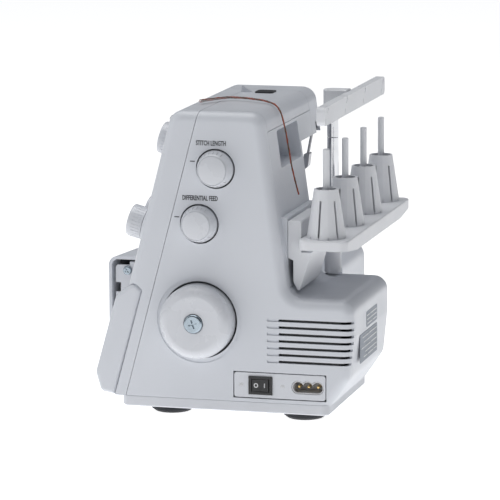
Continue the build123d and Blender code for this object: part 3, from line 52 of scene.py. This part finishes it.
upward = np.array([-0.16750, -0.04582, 0.98481])
roll = 0.0056
right_axis = np.cos(roll) * across - np.sin(roll) * upward
up_axis = np.sin(roll) * across + np.cos(roll) * upward
camera = bpy.data.objects.new("view", lens)
bpy.context.collection.objects.link(camera)
pose = np.eye(4)
pose[:3, 0], pose[:3, 1], pose[:3, 2] = right_axis, up_axis, back
pose[:3, 3] = (3.14614, 0.86266, 0.71156)
camera.matrix_world = Matrix(pose.tolist())
bpy.context.scene.camera = camera
bpy.context.scene.view_settings.view_transform = "Standard"

world = bpy.data.worlds.new("room")
bpy.context.scene.world = world
world.use_nodes = True
air = world.node_tree
sky = air.nodes["Background"]
sky.inputs["Color"].default_value = (0.86, 0.92, 1.0, 1.0)
sky.inputs["Strength"].default_value = 0.13
paper = air.nodes.new("ShaderNodeBackground")
paper.inputs["Color"].default_value = (1.0, 1.0, 1.0, 1.0)
paper.inputs["Strength"].default_value = 1.05
seen = air.nodes.new("ShaderNodeLightPath")
choice = air.nodes.new("ShaderNodeMixShader")
air.links.new(seen.outputs["Is Camera Ray"], choice.inputs[0])
air.links.new(sky.outputs[0], choice.inputs[1])
air.links.new(paper.outputs[0], choice.inputs[2])
air.links.new(choice.outputs[0], air.nodes["World Output"].inputs["Surface"])


def softbox(name, place, aim, size, power):
    """Square area light at a place, turned to face the aim point."""
    light = bpy.data.lights.new(name, "AREA")
    light.size = size
    light.energy = power
    lamp = bpy.data.objects.new(name, light)
    bpy.context.collection.objects.link(lamp)
    away = np.array(place) - np.array(aim)
    away = away / np.linalg.norm(away)
    side = np.cross([0.0, 1.0, 0.02], away)
    side = side / np.linalg.norm(side)
    turn = np.eye(4)
    turn[:3, 0], turn[:3, 1], turn[:3, 2], turn[:3, 3] = side, np.cross(away, side), away, place
    lamp.matrix_world = Matrix(turn.tolist())


softbox("top_box", (0.0, -0.3, 2.4), (0.0, 0.0, 0.0), 2.0, 36.0)
softbox("front_box", (1.2, -2.2, 1.3), (0.0, 0.0, 0.15), 1.6, 9.0)

floor_mesh = bpy.data.meshes.new("floor")
reach = 9.0
corners = [(-reach, -reach, 0), (reach, -reach, 0), (reach, reach, 0), (-reach, reach, 0)]
floor_mesh.from_pydata(corners, [], [(0, 1, 2, 3)])
floor = bpy.data.objects.new("floor", floor_mesh)
bpy.context.collection.objects.link(floor)
floor_paint = bpy.data.materials.new("floor_paper")
floor_paint.use_nodes = True
floor_bsdf = floor_paint.node_tree.nodes["Principled BSDF"]
floor_bsdf.inputs["Base Color"].default_value = (0.86, 0.86, 0.86, 1.0)
floor_bsdf.inputs["Roughness"].default_value = 0.45
floor_bsdf.inputs["Emission Color"].default_value = (1.0, 1.0, 1.0, 1.0)
floor_bsdf.inputs["Emission Strength"].default_value = 0.84
floor_mesh.materials.append(floor_paint)

# ------------------------------------------------------------------ loose thread
# Five dyed polyester sewing threads left in the machine: they lie apart over the roof,
# twist together down the column's rear and end there. Nothing holds either end.
MM = 0.001


def spline_line(points):
    """Points read off a cubic-smooth NURBS curve through the route's control points."""
    curve = bpy.data.curves.new("route", "CURVE")
    curve.dimensions = "3D"
    curve.resolution_u = 24
    line = curve.splines.new("NURBS")
    line.points.add(len(points) - 1)
    for knot, point in zip(line.points, points):
        knot.co = (*point, 1.0)
    line.order_u = 3
    line.use_endpoint_u = True
    holder = bpy.data.objects.new("route", curve)
    bpy.context.collection.objects.link(holder)
    bpy.context.view_layer.update()
    mesh = bpy.data.meshes.new_from_object(holder.evaluated_get(bpy.context.evaluated_depsgraph_get()))
    line_points = np.empty(len(mesh.vertices) * 3)
    mesh.vertices.foreach_get("co", line_points)
    bpy.data.objects.remove(holder)
    bpy.data.meshes.remove(mesh)
    return line_points.reshape(-1, 3)


def path_frame(line):
    """Tangent, and two unit vectors square to it, at every point of a line."""
    tangent = np.gradient(line, axis=0)
    tangent /= np.linalg.norm(tangent, axis=1, keepdims=True)
    side = np.cross(tangent, [1.0, 0.02, 0.0])
    side /= np.linalg.norm(side, axis=1, keepdims=True)
    return tangent, side, np.cross(tangent, side)


def tube_mesh(line, radius, sides):
    """A circle carried along the line, square to it, closed by a point at each end."""
    _, side, other = path_frame(line)
    turn = np.linspace(0, 2 * np.pi, sides, endpoint=False)
    ring = side[:, None] * np.cos(turn)[None, :, None] + other[:, None] * np.sin(turn)[None, :, None]
    skin = (line[:, None] + ring * np.reshape(radius, (-1, 1, 1))).reshape(-1, 3)
    rows, cols = np.meshgrid(np.arange(len(line) - 1), np.arange(sides), indexing="ij")
    start, following = rows * sides + cols, rows * sides + (cols + 1) % sides
    quads = np.stack([start, following, following + sides, start + sides], -1).reshape(-1, 4)
    points = np.vstack([skin, line[:1], line[-1:]])
    count = len(skin)
    around = np.arange(sides)
    first = np.stack([np.full(sides, count), (around + 1) % sides, around], -1)
    last_ring = (len(line) - 1) * sides
    last = np.stack([np.full(sides, count + 1), last_ring + around, last_ring + (around + 1) % sides], -1)
    return points, quads.tolist() + first.tolist() + last.tolist()


def outward(points, faces):
    """Faces turned over if the closed shape's volume comes out negative."""
    total = 0.0
    for size in {len(f) for f in faces}:
        block = np.array([f for f in faces if len(f) == size])
        corner = points[block[:, 0]]
        for k in range(1, size - 1):
            total += np.einsum("ij,ij->", corner, np.cross(points[block[:, k]], points[block[:, k + 1]]))
    return faces if total > 0 else [list(f)[::-1] for f in faces]


def new_piece(name, points, faces, material, body, slot):
    """A mesh object with its place in its vertices, riding on a body."""
    mesh = bpy.data.meshes.new(name)
    mesh.from_pydata(np.asarray(points).tolist(), [], [list(f) for f in faces])
    mesh.materials.append(material)
    thing = bpy.data.objects.new(name, mesh)
    bpy.context.collection.objects.link(thing)
    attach(thing, body)
    return thing


def thread_finish(name):
    """Dyed spun thread: hairy, sheen along the fibres, colour from the piece's own attribute."""
    paint = bpy.data.materials.new(name)
    paint.use_nodes = True
    tree = paint.node_tree
    bsdf = tree.nodes["Principled BSDF"]
    dye = tree.nodes.new("ShaderNodeAttribute")
    dye.attribute_name = "dye"
    where = tree.nodes.new("ShaderNodeTexCoord")
    fuzz = tree.nodes.new("ShaderNodeTexNoise")
    fuzz.inputs["Scale"].default_value = 1500.0
    fuzz.inputs["Detail"].default_value = 3.0
    tree.links.new(where.outputs["Object"], fuzz.inputs["Vector"])
    shade = tree.nodes.new("ShaderNodeMix")
    shade.data_type = "RGBA"
    shade.blend_type = "MULTIPLY"
    shade.inputs[0].default_value = 0.55
    tree.links.new(dye.outputs["Color"], shade.inputs[6])
    tree.links.new(fuzz.outputs["Color"], shade.inputs[7])
    tree.links.new(shade.outputs[2], bsdf.inputs["Base Color"])
    relief = tree.nodes.new("ShaderNodeBump")
    relief.inputs["Strength"].default_value = 0.5
    relief.inputs["Distance"].default_value = 0.0002
    tree.links.new(fuzz.outputs["Fac"], relief.inputs["Height"])
    tree.links.new(relief.outputs["Normal"], bsdf.inputs["Normal"])
    bsdf.inputs["Roughness"].default_value = 0.62
    bsdf.inputs["Sheen Weight"].default_value = 0.3
    return paint


roof = 290 * MM
above_roof = roof + 3.2 * MM
thread_route = [
    (88 * MM, -22 * MM, above_roof),
    (56 * MM, -8 * MM, above_roof),
    (54 * MM, 10 * MM, above_roof),
    (70 * MM, 38 * MM, above_roof),
    (80 * MM, 54 * MM, roof - 1 * MM),
    (80 * MM, 60.3 * MM, roof - 28 * MM),
    (80 * MM, 66 * MM, roof - 64 * MM),
    (80 * MM, 72 * MM, roof - 84 * MM),
]
thread_stations = 420
thread_radius = 0.27 * MM
thread_sides = 7
twist_length = 0.017            # one full turn of the bundle
close_spread = 0.50             # strands' distance from the bundle's middle, in millimetres
fan_spread = 0.9                # how much further apart they start on the roof
fan_length = 0.04               # the run over which they come together
wander_spread = 0.10            # slow in and out of each strand
wander_length = 0.011
line = spline_line(thread_route)
run = np.concatenate([[0], np.cumsum(np.linalg.norm(np.diff(line, axis=0), axis=1))])
even = np.linspace(0, run[-1], thread_stations)
line = np.stack([np.interp(even, run, line[:, k]) for k in range(3)], -1)
_, side, other = path_frame(line)
dyes = [(0.50, 0.035, 0.02), (0.60, 0.15, 0.03), (0.28, 0.03, 0.02), (0.07, 0.10, 0.035), (0.42, 0.12, 0.05)]
points, faces, colours = [], [], []
for k, dye in enumerate(dyes):
    twist = 2 * np.pi * (k / len(dyes) + even / twist_length)
    spread = (close_spread + fan_spread * np.exp(-even / fan_length)) * MM
    spread += wander_spread * MM * np.sin(even / wander_length + 2 * k)
    strand = line + (side * np.cos(twist)[:, None] + other * np.sin(twist)[:, None]) * spread[:, None]
    skin, quads = tube_mesh(strand, np.full(len(strand), thread_radius), thread_sides)
    base = sum(len(p) for p in points)
    points.append(skin)
    faces += [[v + base for v in f] for f in outward(skin, quads)]
    colours.append(np.tile((*dye, 1.0), (len(skin), 1)))
thread_paint = thread_finish("dyed_thread")
tail = new_piece("thread_tail_strands", np.vstack(points), faces, thread_paint, "machine_body", "thread")
tint = tail.data.color_attributes.new("dye", "FLOAT_COLOR", "POINT")
tint.data.foreach_set("color", np.vstack(colours).ravel())
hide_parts("thread_tail")

# ------------------------------------------------------------------ base pan and feet
# The pan is one white ABS moulding under the whole machine. Four dark rubber discs are pressed
# into it from below.


def dress(material, *nodes):
    """Gives CAD nodes a finish through their own material slots."""
    for node in nodes:
        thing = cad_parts[node]
        if not thing.material_slots:
            thing.data.materials.append(material)
        for socket in thing.material_slots:
            socket.material = material


def moulded(name, colour, rough, grain=2600.0, depth=0.00003, cloud=0.025, coat=0.0):
    """Moulded plastic: fine spark grain, faint cloudy colour, uneven gloss where hands rub it."""
    paint = bpy.data.materials.new(name)
    paint.use_nodes = True
    tree = paint.node_tree
    bsdf = tree.nodes["Principled BSDF"]
    where = tree.nodes.new("ShaderNodeTexCoord")
    haze = tree.nodes.new("ShaderNodeTexNoise")
    haze.inputs["Scale"].default_value = 14.0
    haze.inputs["Detail"].default_value = 5.0
    tree.links.new(where.outputs["Object"], haze.inputs["Vector"])
    ramp = tree.nodes.new("ShaderNodeValToRGB")
    dark = [max(0.0, c * (1 - cloud * 2)) for c in colour]
    light = [min(1.0, c * (1 + cloud)) for c in colour]
    ramp.color_ramp.elements[0].position = 0.3
    ramp.color_ramp.elements[0].color = (*dark, 1.0)
    ramp.color_ramp.elements[1].position = 0.7
    ramp.color_ramp.elements[1].color = (*light, 1.0)
    tree.links.new(haze.outputs["Fac"], ramp.inputs["Fac"])
    tree.links.new(ramp.outputs["Color"], bsdf.inputs["Base Color"])
    rub = tree.nodes.new("ShaderNodeTexNoise")
    rub.inputs["Scale"].default_value = 38.0
    rub.inputs["Detail"].default_value = 6.0
    tree.links.new(where.outputs["Object"], rub.inputs["Vector"])
    gloss = tree.nodes.new("ShaderNodeMapRange")
    gloss.inputs["From Min"].default_value = 0.3
    gloss.inputs["From Max"].default_value = 0.7
    gloss.inputs["To Min"].default_value = rough - 0.05
    gloss.inputs["To Max"].default_value = rough + 0.08
    tree.links.new(rub.outputs["Fac"], gloss.inputs["Value"])
    tree.links.new(gloss.outputs["Result"], bsdf.inputs["Roughness"])
    spark = tree.nodes.new("ShaderNodeTexNoise")
    spark.inputs["Scale"].default_value = grain
    spark.inputs["Detail"].default_value = 2.0
    tree.links.new(where.outputs["Object"], spark.inputs["Vector"])
    relief = tree.nodes.new("ShaderNodeBump")
    relief.inputs["Strength"].default_value = 0.6
    relief.inputs["Distance"].default_value = depth
    tree.links.new(spark.outputs["Fac"], relief.inputs["Height"])
    tree.links.new(relief.outputs["Normal"], bsdf.inputs["Normal"])
    bsdf.inputs["Coat Weight"].default_value = coat
    bsdf.inputs["Coat Roughness"].default_value = 0.25
    return paint


pan_white = moulded("pan_white", (0.68, 0.695, 0.735), 0.44)
foot_rubber = moulded("foot_rubber", (0.030, 0.032, 0.038), 0.72, grain=900.0, depth=0.0001, cloud=0.15)
dress(pan_white, "base_pan")
dress(foot_rubber, "rubber_feet")

# ------------------------------------------------------------------ casting and bearings
# The machine's frame is sand-cast and sprayed grey; its bearings are pressed sintered bronze.


def metal(name, colour, rough, grain, depth, metallic=1.0, streak=(1.0, 1.0, 1.0), patchy=0.08):
    """Metal with a scratched or cast surface: noise stretched along the finish direction."""
    paint = bpy.data.materials.new(name)
    paint.use_nodes = True
    tree = paint.node_tree
    bsdf = tree.nodes["Principled BSDF"]
    bsdf.inputs["Metallic"].default_value = metallic
    where = tree.nodes.new("ShaderNodeTexCoord")
    stretch = tree.nodes.new("ShaderNodeMapping")
    stretch.inputs["Scale"].default_value = streak
    tree.links.new(where.outputs["Object"], stretch.inputs["Vector"])
    scratch = tree.nodes.new("ShaderNodeTexNoise")
    scratch.inputs["Scale"].default_value = grain
    scratch.inputs["Detail"].default_value = 4.0
    tree.links.new(stretch.outputs["Vector"], scratch.inputs["Vector"])
    stain = tree.nodes.new("ShaderNodeTexNoise")
    stain.inputs["Scale"].default_value = 60.0
    stain.inputs["Detail"].default_value = 4.0
    tree.links.new(where.outputs["Object"], stain.inputs["Vector"])
    ramp = tree.nodes.new("ShaderNodeValToRGB")
    ramp.color_ramp.elements[0].position = 0.3
    ramp.color_ramp.elements[0].color = (*[c * (1 - 2 * patchy) for c in colour], 1.0)
    ramp.color_ramp.elements[1].position = 0.7
    ramp.color_ramp.elements[1].color = (*[min(1.0, c * (1 + patchy)) for c in colour], 1.0)
    tree.links.new(stain.outputs["Fac"], ramp.inputs["Fac"])
    tree.links.new(ramp.outputs["Color"], bsdf.inputs["Base Color"])
    gloss = tree.nodes.new("ShaderNodeMapRange")
    gloss.inputs["To Min"].default_value = max(0.02, rough - 0.08)
    gloss.inputs["To Max"].default_value = rough + 0.12
    tree.links.new(scratch.outputs["Fac"], gloss.inputs["Value"])
    tree.links.new(gloss.outputs["Result"], bsdf.inputs["Roughness"])
    relief = tree.nodes.new("ShaderNodeBump")
    relief.inputs["Strength"].default_value = 0.5
    relief.inputs["Distance"].default_value = depth
    tree.links.new(scratch.outputs["Fac"], relief.inputs["Height"])
    tree.links.new(relief.outputs["Normal"], bsdf.inputs["Normal"])
    return paint


cast_paint = metal("sprayed_casting", (0.30, 0.31, 0.33), 0.55, 420.0, 0.0003, metallic=0.0)
sintered = metal("sintered_bronze", (0.55, 0.38, 0.20), 0.45, 900.0, 0.0001)
dress(cast_paint, "main_frame")
dress(sintered, "shaft_bearings")

# ------------------------------------------------------------------ main shaft, motor and belt
# Ground steel shaft, moulded nylon pulley, black motor with an aluminium pulley, and a ribbed belt.
ground_steel = metal("ground_steel", (0.60, 0.61, 0.63), 0.26, 900.0, 0.00004, streak=(0.05, 1.0, 1.0))
motor_black = metal("motor_black", (0.035, 0.035, 0.04), 0.42, 500.0, 0.0001, metallic=0.2)
turned_alloy = metal("turned_alloy", (0.72, 0.73, 0.74), 0.32, 1400.0, 0.00005, streak=(1.0, 0.1, 0.1))
belt_rubber = moulded("belt_rubber", (0.025, 0.025, 0.026), 0.7, grain=1300.0, depth=0.0001, cloud=0.2)
nylon_black = moulded("nylon_black", (0.03, 0.03, 0.033), 0.42, grain=1800.0, cloud=0.12)
dress(ground_steel, "main_shaft")
dress(motor_black, "motor")
dress(turned_alloy, "motor_pulley")
dress(belt_rubber, "drive_belt")
dress(nylon_black, "driven_pulley")

# ------------------------------------------------------------------ casing covers
# Injection-moulded ABS shells in one white, screwed to the casting, with a shadow gap between them.
casing_white = moulded("casing_white", (0.665, 0.685, 0.73), 0.34, grain=3000.0, depth=0.00002, cloud=0.012)
dress(casing_white, "right_cover", "top_cover", "rear_cover", "motor_cover", "bed_cover")
dress(casing_white, "front_cover", "head_end_cover", "lower_front_cover", "looper_cover")

# ------------------------------------------------------------------ printed marks on the right face
# Pad-printed dark words above each dial and an index dash beside it. The ink stands a hair's
# breadth proud of the moulded face.


def ink(name, colour):
    """Pad-printing ink: nearly flat colour with worn specks."""
    return moulded(name, colour, 0.55, grain=1500.0, depth=0.00001, cloud=0.2)


def words_on_right(name, text, y, z, height, x, material, body="machine_body",
                   thick=0.00012, narrow=0.62, bold=0.00012):
    """Condensed lettering laid on a plane of constant x, reading towards +Y, centred on (y, z)."""
    font = bpy.data.curves.new(name, "FONT")
    font.body = text
    font.align_x = "CENTER"
    font.align_y = "CENTER"
    font.size = height
    font.extrude = thick
    font.resolution_u = 3
    font.offset = bold
    holder = bpy.data.objects.new(name, font)
    bpy.context.collection.objects.link(holder)
    bpy.context.view_layer.update()
    mesh = bpy.data.meshes.new_from_object(holder.evaluated_get(bpy.context.evaluated_depsgraph_get()))
    bpy.data.objects.remove(holder)
    lay = Matrix(((0, 0, 1, x), (narrow, 0, 0, y), (0, 1, 0, z), (0, 0, 0, 1)))
    mesh.transform(lay)
    mesh.materials.clear()
    mesh.materials.append(material)
    thing = bpy.data.objects.new(name, mesh)
    bpy.context.collection.objects.link(thing)
    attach(thing, body)
    return thing


bar_faces = [[0, 1, 3, 2], [4, 6, 7, 5], [0, 4, 5, 1], [2, 3, 7, 6], [0, 2, 6, 4], [1, 5, 7, 3]]


def slab(x0, x1, y0, y1, z0, z1):
    """Corner points and faces of a thin bar: every mix of its low and high x, y and z."""
    xs, ys, zs = np.meshgrid([x0, x1], [y0, y1], [z0, z1], indexing="ij")
    return np.stack([xs, ys, zs], -1).reshape(-1, 3), bar_faces


def joined(parts):
    """Several closed shapes as one list of points and faces."""
    points, faces, base = [], [], 0
    for some_points, some_faces in parts:
        some_faces = outward(np.asarray(some_points), some_faces)
        points.append(some_points)
        faces += [[v + base for v in f] for f in some_faces]
        base += len(some_points)
    return np.vstack(points), faces


right_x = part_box("right_cover")[1][0]
mark_ink = ink("mark_ink", (0.03, 0.033, 0.04))
ink_x = right_x + 0.1 * MM
letter_height = 6.3 * MM
words_on_right("words_stitch", "STITCH LENGTH", 3 * MM, 260.8 * MM, letter_height, ink_x, mark_ink)
words_on_right("words_feed", "DIFFERENTIAL FEED", -8 * MM, 208.8 * MM, letter_height, ink_x, mark_ink)
dash_length, dash_half = 4.6, 0.4
dash_places = [(-17.5, 243.5), (-33.0, 190.5)]
dashes = joined([slab(right_x - 0.1 * MM, right_x + 0.2 * MM, y * MM, (y + dash_length) * MM,
                      (z - dash_half) * MM, (z + dash_half) * MM) for y, z in dash_places])
new_piece("index_dashes", *dashes, mark_ink, "machine_body", "black_plastic")

# ------------------------------------------------------------------ handwheel and its screw
# Glossy white moulded handwheel, clamped on the shaft's end by a large cross-head screw that is
# plated blue-grey, as the small casing screws are.
knob_white = moulded("knob_white", (0.67, 0.685, 0.725), 0.26, grain=3000.0, depth=0.00001, cloud=0.012,
                     coat=0.15)
plated = metal("plated_screw", (0.36, 0.42, 0.47), 0.24, 1800.0, 0.00003)
dress(knob_white, "handwheel")
dress(plated, "handwheel_screw", "casing_screws")

# ------------------------------------------------------------------ stitch and feed dials
# White moulded knobs pushed on short shafts: a graduated skirt and a slightly domed cap. The
# grey ticks are printed round the skirt and turn with it.
dress(knob_white, "stitch_dial", "feed_dial")
tick_ink = ink("tick_ink", (0.42, 0.43, 0.45))


def skirt_ticks(centre, radii, heights, angles, width, sink, stand):
    """Thin bars on a cone about X, from its wide rim to its narrow one.

    A corner is the centre, plus the outward direction times the rim's radius, plus half the width
    sideways, and it is sunk into the skirt or stands proud of it along the outward direction.
    """
    parts = []
    for angle in angles:
        out = np.array([0.0, np.cos(angle), np.sin(angle)])
        along = np.array([0.0, -np.sin(angle), np.cos(angle)]) * width / 2
        ends = [centre + out * radius + [height, 0, 0] for radius, height in zip(radii, heights)]
        corners = [end + along * s + out * h for end in ends for s in (-1, 1) for h in (-sink, stand)]
        parts.append((np.array(corners), bar_faces))
    return joined(parts)


tick_radii = (16.6 * MM, 15.3 * MM)
tick_heights = (right_x + 5.0 * MM, right_x + 10.0 * MM)
tick_angles = np.radians(np.arange(60, 330, 15))
for body, y, z in [("stitch_dial", 7.0, 237.0), ("feed_dial", -9.0, 184.5)]:
    middle = np.array([0.0, y * MM, z * MM])
    ring = skirt_ticks(middle, tick_radii, tick_heights, tick_angles, 0.45 * MM, 0.2 * MM, 0.12 * MM)
    new_piece(body + "_ticks", *ring, tick_ink, body, "white_knob")

# ------------------------------------------------------------------ tension dials
# Four ribbed white knobs screwed on steel studs. Each one presses a coil spring on a pair of
# polished steel discs that pinch the thread.
for number in range(1, 5):
    dress(knob_white, "tension_dial_%d" % number)
polished = metal("polished_disc", (0.78, 0.79, 0.80), 0.14, 1600.0, 0.00002)
spring_wire = metal("spring_wire", (0.50, 0.50, 0.52), 0.34, 1500.0, 0.00004)
dress(ground_steel, "tension_studs")
dress(polished, "tension_discs")
dress(spring_wire, "tension_springs")

# ------------------------------------------------------------------ power panel, switch and inlet
# White panel with a black snap-in rocker switch and a three-lobe inlet holding turned brass pins.
# Above the panel, a black board just inside the vent slots is painted shade that darkens them.


def rounded_slab(plane, low, high, thick, radius, steps=8):
    """Rounded rectangle, as four quarter circles joined by straight sides, drawn out along one axis.

    The plane is the number of the axis square to it, and thick gives its two levels on that axis.
    """
    turn = np.linspace(0, np.pi / 2, steps)
    centres = [(high[0] - radius, high[1] - radius, 0), (low[0] + radius, high[1] - radius, 1),
               (low[0] + radius, low[1] + radius, 2), (high[0] - radius, low[1] + radius, 3)]
    loop = np.vstack([np.stack([cx + radius * np.cos(turn + k * np.pi / 2),
                                cy + radius * np.sin(turn + k * np.pi / 2)], -1) for cx, cy, k in centres])
    count = len(loop)
    rings = [np.insert(loop, plane, level, axis=1) for level in thick]
    around = np.arange(count)
    following = (around + 1) % count
    sides = np.stack([around, following, following + count, around + count], -1).tolist()
    return np.vstack(rings), sides + [list(range(count))[::-1], list(range(count, 2 * count))]


turned_brass = metal("turned_brass", (0.72, 0.52, 0.22), 0.25, 1600.0, 0.00003)
switch_and_shade_black = moulded("switch_and_shade_black", (0.018, 0.018, 0.020), 0.34, grain=2200.0, cloud=0.1)
socket_white = moulded("socket_white", (0.62, 0.62, 0.63), 0.5)
dress(pan_white, "power_panel")
dress(switch_and_shade_black, "switch_frame", "switch_rocker")
dress(socket_white, "inlet_socket")
dress(turned_brass, "inlet_pins")
rocker_low, rocker_high = (np.array(corner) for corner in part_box("switch_rocker"))
rocker_mid = (rocker_low + rocker_high) / 2
sign_ink = ink("sign_white", (0.75, 0.75, 0.76))
sign_height = 6.0 * MM
for name, text, offset, depth in [("sign_off", "O", -4.0, 0.35), ("sign_on", "I", 4.0, 1.25)]:
    words_on_right(name, text, rocker_mid[1] + offset * MM, rocker_mid[2], sign_height,
                   rocker_high[0] - depth * MM, sign_ink, "switch_rocker", thick=0.0003, narrow=0.9)
relief_white = moulded("relief_white", (0.70, 0.705, 0.715), 0.45)
# Painted shade: a black board inside the vent slots, in the switch's black, darkens the slots.
vent_levels = (right_x - 4.0 * MM, right_x - 3.0 * MM)
vent_shade_board = joined([rounded_slab(0, (70 * MM, 51 * MM), (126 * MM, 101 * MM), vent_levels, 2 * MM)])
new_piece("vent_painted_shade", *vent_shade_board, switch_and_shade_black, "machine_body", "black_plastic")
for name, text, y in [("word_off", "OFF", 30.5), ("word_on", "ON", 70.5)]:
    words_on_right(name, text, y * MM, rocker_mid[2], 4.2 * MM, right_x - 0.2 * MM, relief_white,
                   thick=0.0002)

# ------------------------------------------------------------------ looper cover, bracket and loopers
# The hinged cover turns on a steel rod and stops against a white bracket screwed to the frame. A
# black plate inside the cover is painted shade for its open end, and hides the bright steel loopers and
# knives.
# Black used only for the looper cover's painted shade plate.
painted_shade_black = moulded("painted_shade_black", (0.028, 0.029, 0.032), 0.46, grain=1500.0, cloud=0.15)
dress(ground_steel, "cover_hinge_rod", "lower_looper", "upper_looper", "upper_knife", "lower_knife")
dress(ground_steel, "feed_dogs")
dress(pan_white, "looper_bracket")
# Painted shade: a black plate riding in the cover's open end darkens it.
shade_levels = (-5.5 * MM, -4.5 * MM)
shade = joined([rounded_slab(0, (-132.4 * MM, 56 * MM), (-84 * MM, 124.2 * MM), shade_levels, 3 * MM)])
new_piece("looper_end_painted_shade", *shade, painted_shade_black, "looper_cover", "black_plastic")

# ------------------------------------------------------------------ needle bar, presser and plate
# Ground steel bars run through the head. The foot is chromed, the needle plate is brushed and
# screwed to the bed, and the lifter lever is bent steel strip.
brushed_plate = metal("brushed_plate", (0.66, 0.67, 0.68), 0.28, 700.0, 0.00004, streak=(0.04, 1.0, 1.0))
upright_steel = metal("upright_steel", (0.62, 0.63, 0.65), 0.22, 900.0, 0.00003, streak=(1.0, 1.0, 0.05))
dress(upright_steel, "needle_bar", "presser_bar", "needle_clamp", "needle_rocker")
dress(polished, "needles", "presser_foot")
dress(spring_wire, "presser_spring")
dress(brushed_plate, "needle_plate")
dress(spring_wire, "lifter_lever")

# ------------------------------------------------------------------ thread stand
# White moulded tray on its bracket, four pins with slotted cone holders, a chromed telescopic pole
# with a white guide bar, and bent wire guides on the roof's front edge.
stand_white = moulded("stand_white", (0.76, 0.77, 0.80), 0.44, grain=2600.0, depth=0.00002, cloud=0.012)
chromed = metal("chromed_tube", (0.74, 0.75, 0.77), 0.12, 1200.0, 0.00002, streak=(1.0, 1.0, 0.05))
dress(stand_white, "tray_bracket", "spool_tray", "cone_holders", "spool_pins", "guide_bar")
dress(chromed, "pole_tube", "pole_rod")
dress(polished, "thread_guides")

# ------------------------------------------------------------------ rear labels and roof slot
# Two dark foil labels stuck on the motor cover's rear, with plain printed rows in place of words,
# and the dark plastic liner set in the roof.
rear_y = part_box("motor_cover")[1][1]
label_grey = metal("label_foil", (0.20, 0.23, 0.28), 0.42, 1200.0, 0.00002, metallic=0.2,
                   streak=(0.1, 1.0, 1.0))
foil_levels = (rear_y - 0.1 * MM, rear_y + 0.2 * MM)
plates = joined([rounded_slab(1, (x0 * MM, z0 * MM), (x1 * MM, z1 * MM), foil_levels, 1.5 * MM)
                 for x0, x1, z0, z1 in [(39, 83, 82, 97), (39, 109, 52, 79)]])
new_piece("blank_labels", *plates, label_grey, "machine_body", "white_cover")
row_start, row_gap, row_half, row_stand = 42, 3, 0.5, 0.35 * MM
row_widths = [(93, (24, 12)), (89, (38,)), (85, (16, 18)),
              (75, (30, 24)), (70, (52,)), (65, (22, 36)), (60, (46,)), (56, (12, 20, 14))]
dashes_in_rows = []
for z, widths in row_widths:
    start = row_start
    for width in widths:
        dashes_in_rows.append(slab(start * MM, (start + width) * MM, rear_y, rear_y + row_stand,
                                   (z - row_half) * MM, (z + row_half) * MM))
        start += width + row_gap
bars = joined(dashes_in_rows)
new_piece("label_rows", *bars, relief_white, "machine_body", "white_cover")
liner_levels = (roof - 0.2 * MM, roof + 1.2 * MM)
liner = joined([rounded_slab(2, (-22 * MM, 6 * MM), (-4 * MM, 24 * MM), liner_levels, 3 * MM)])
new_piece("roof_slot_liner", *liner, nylon_black, "machine_body", "black_plastic")
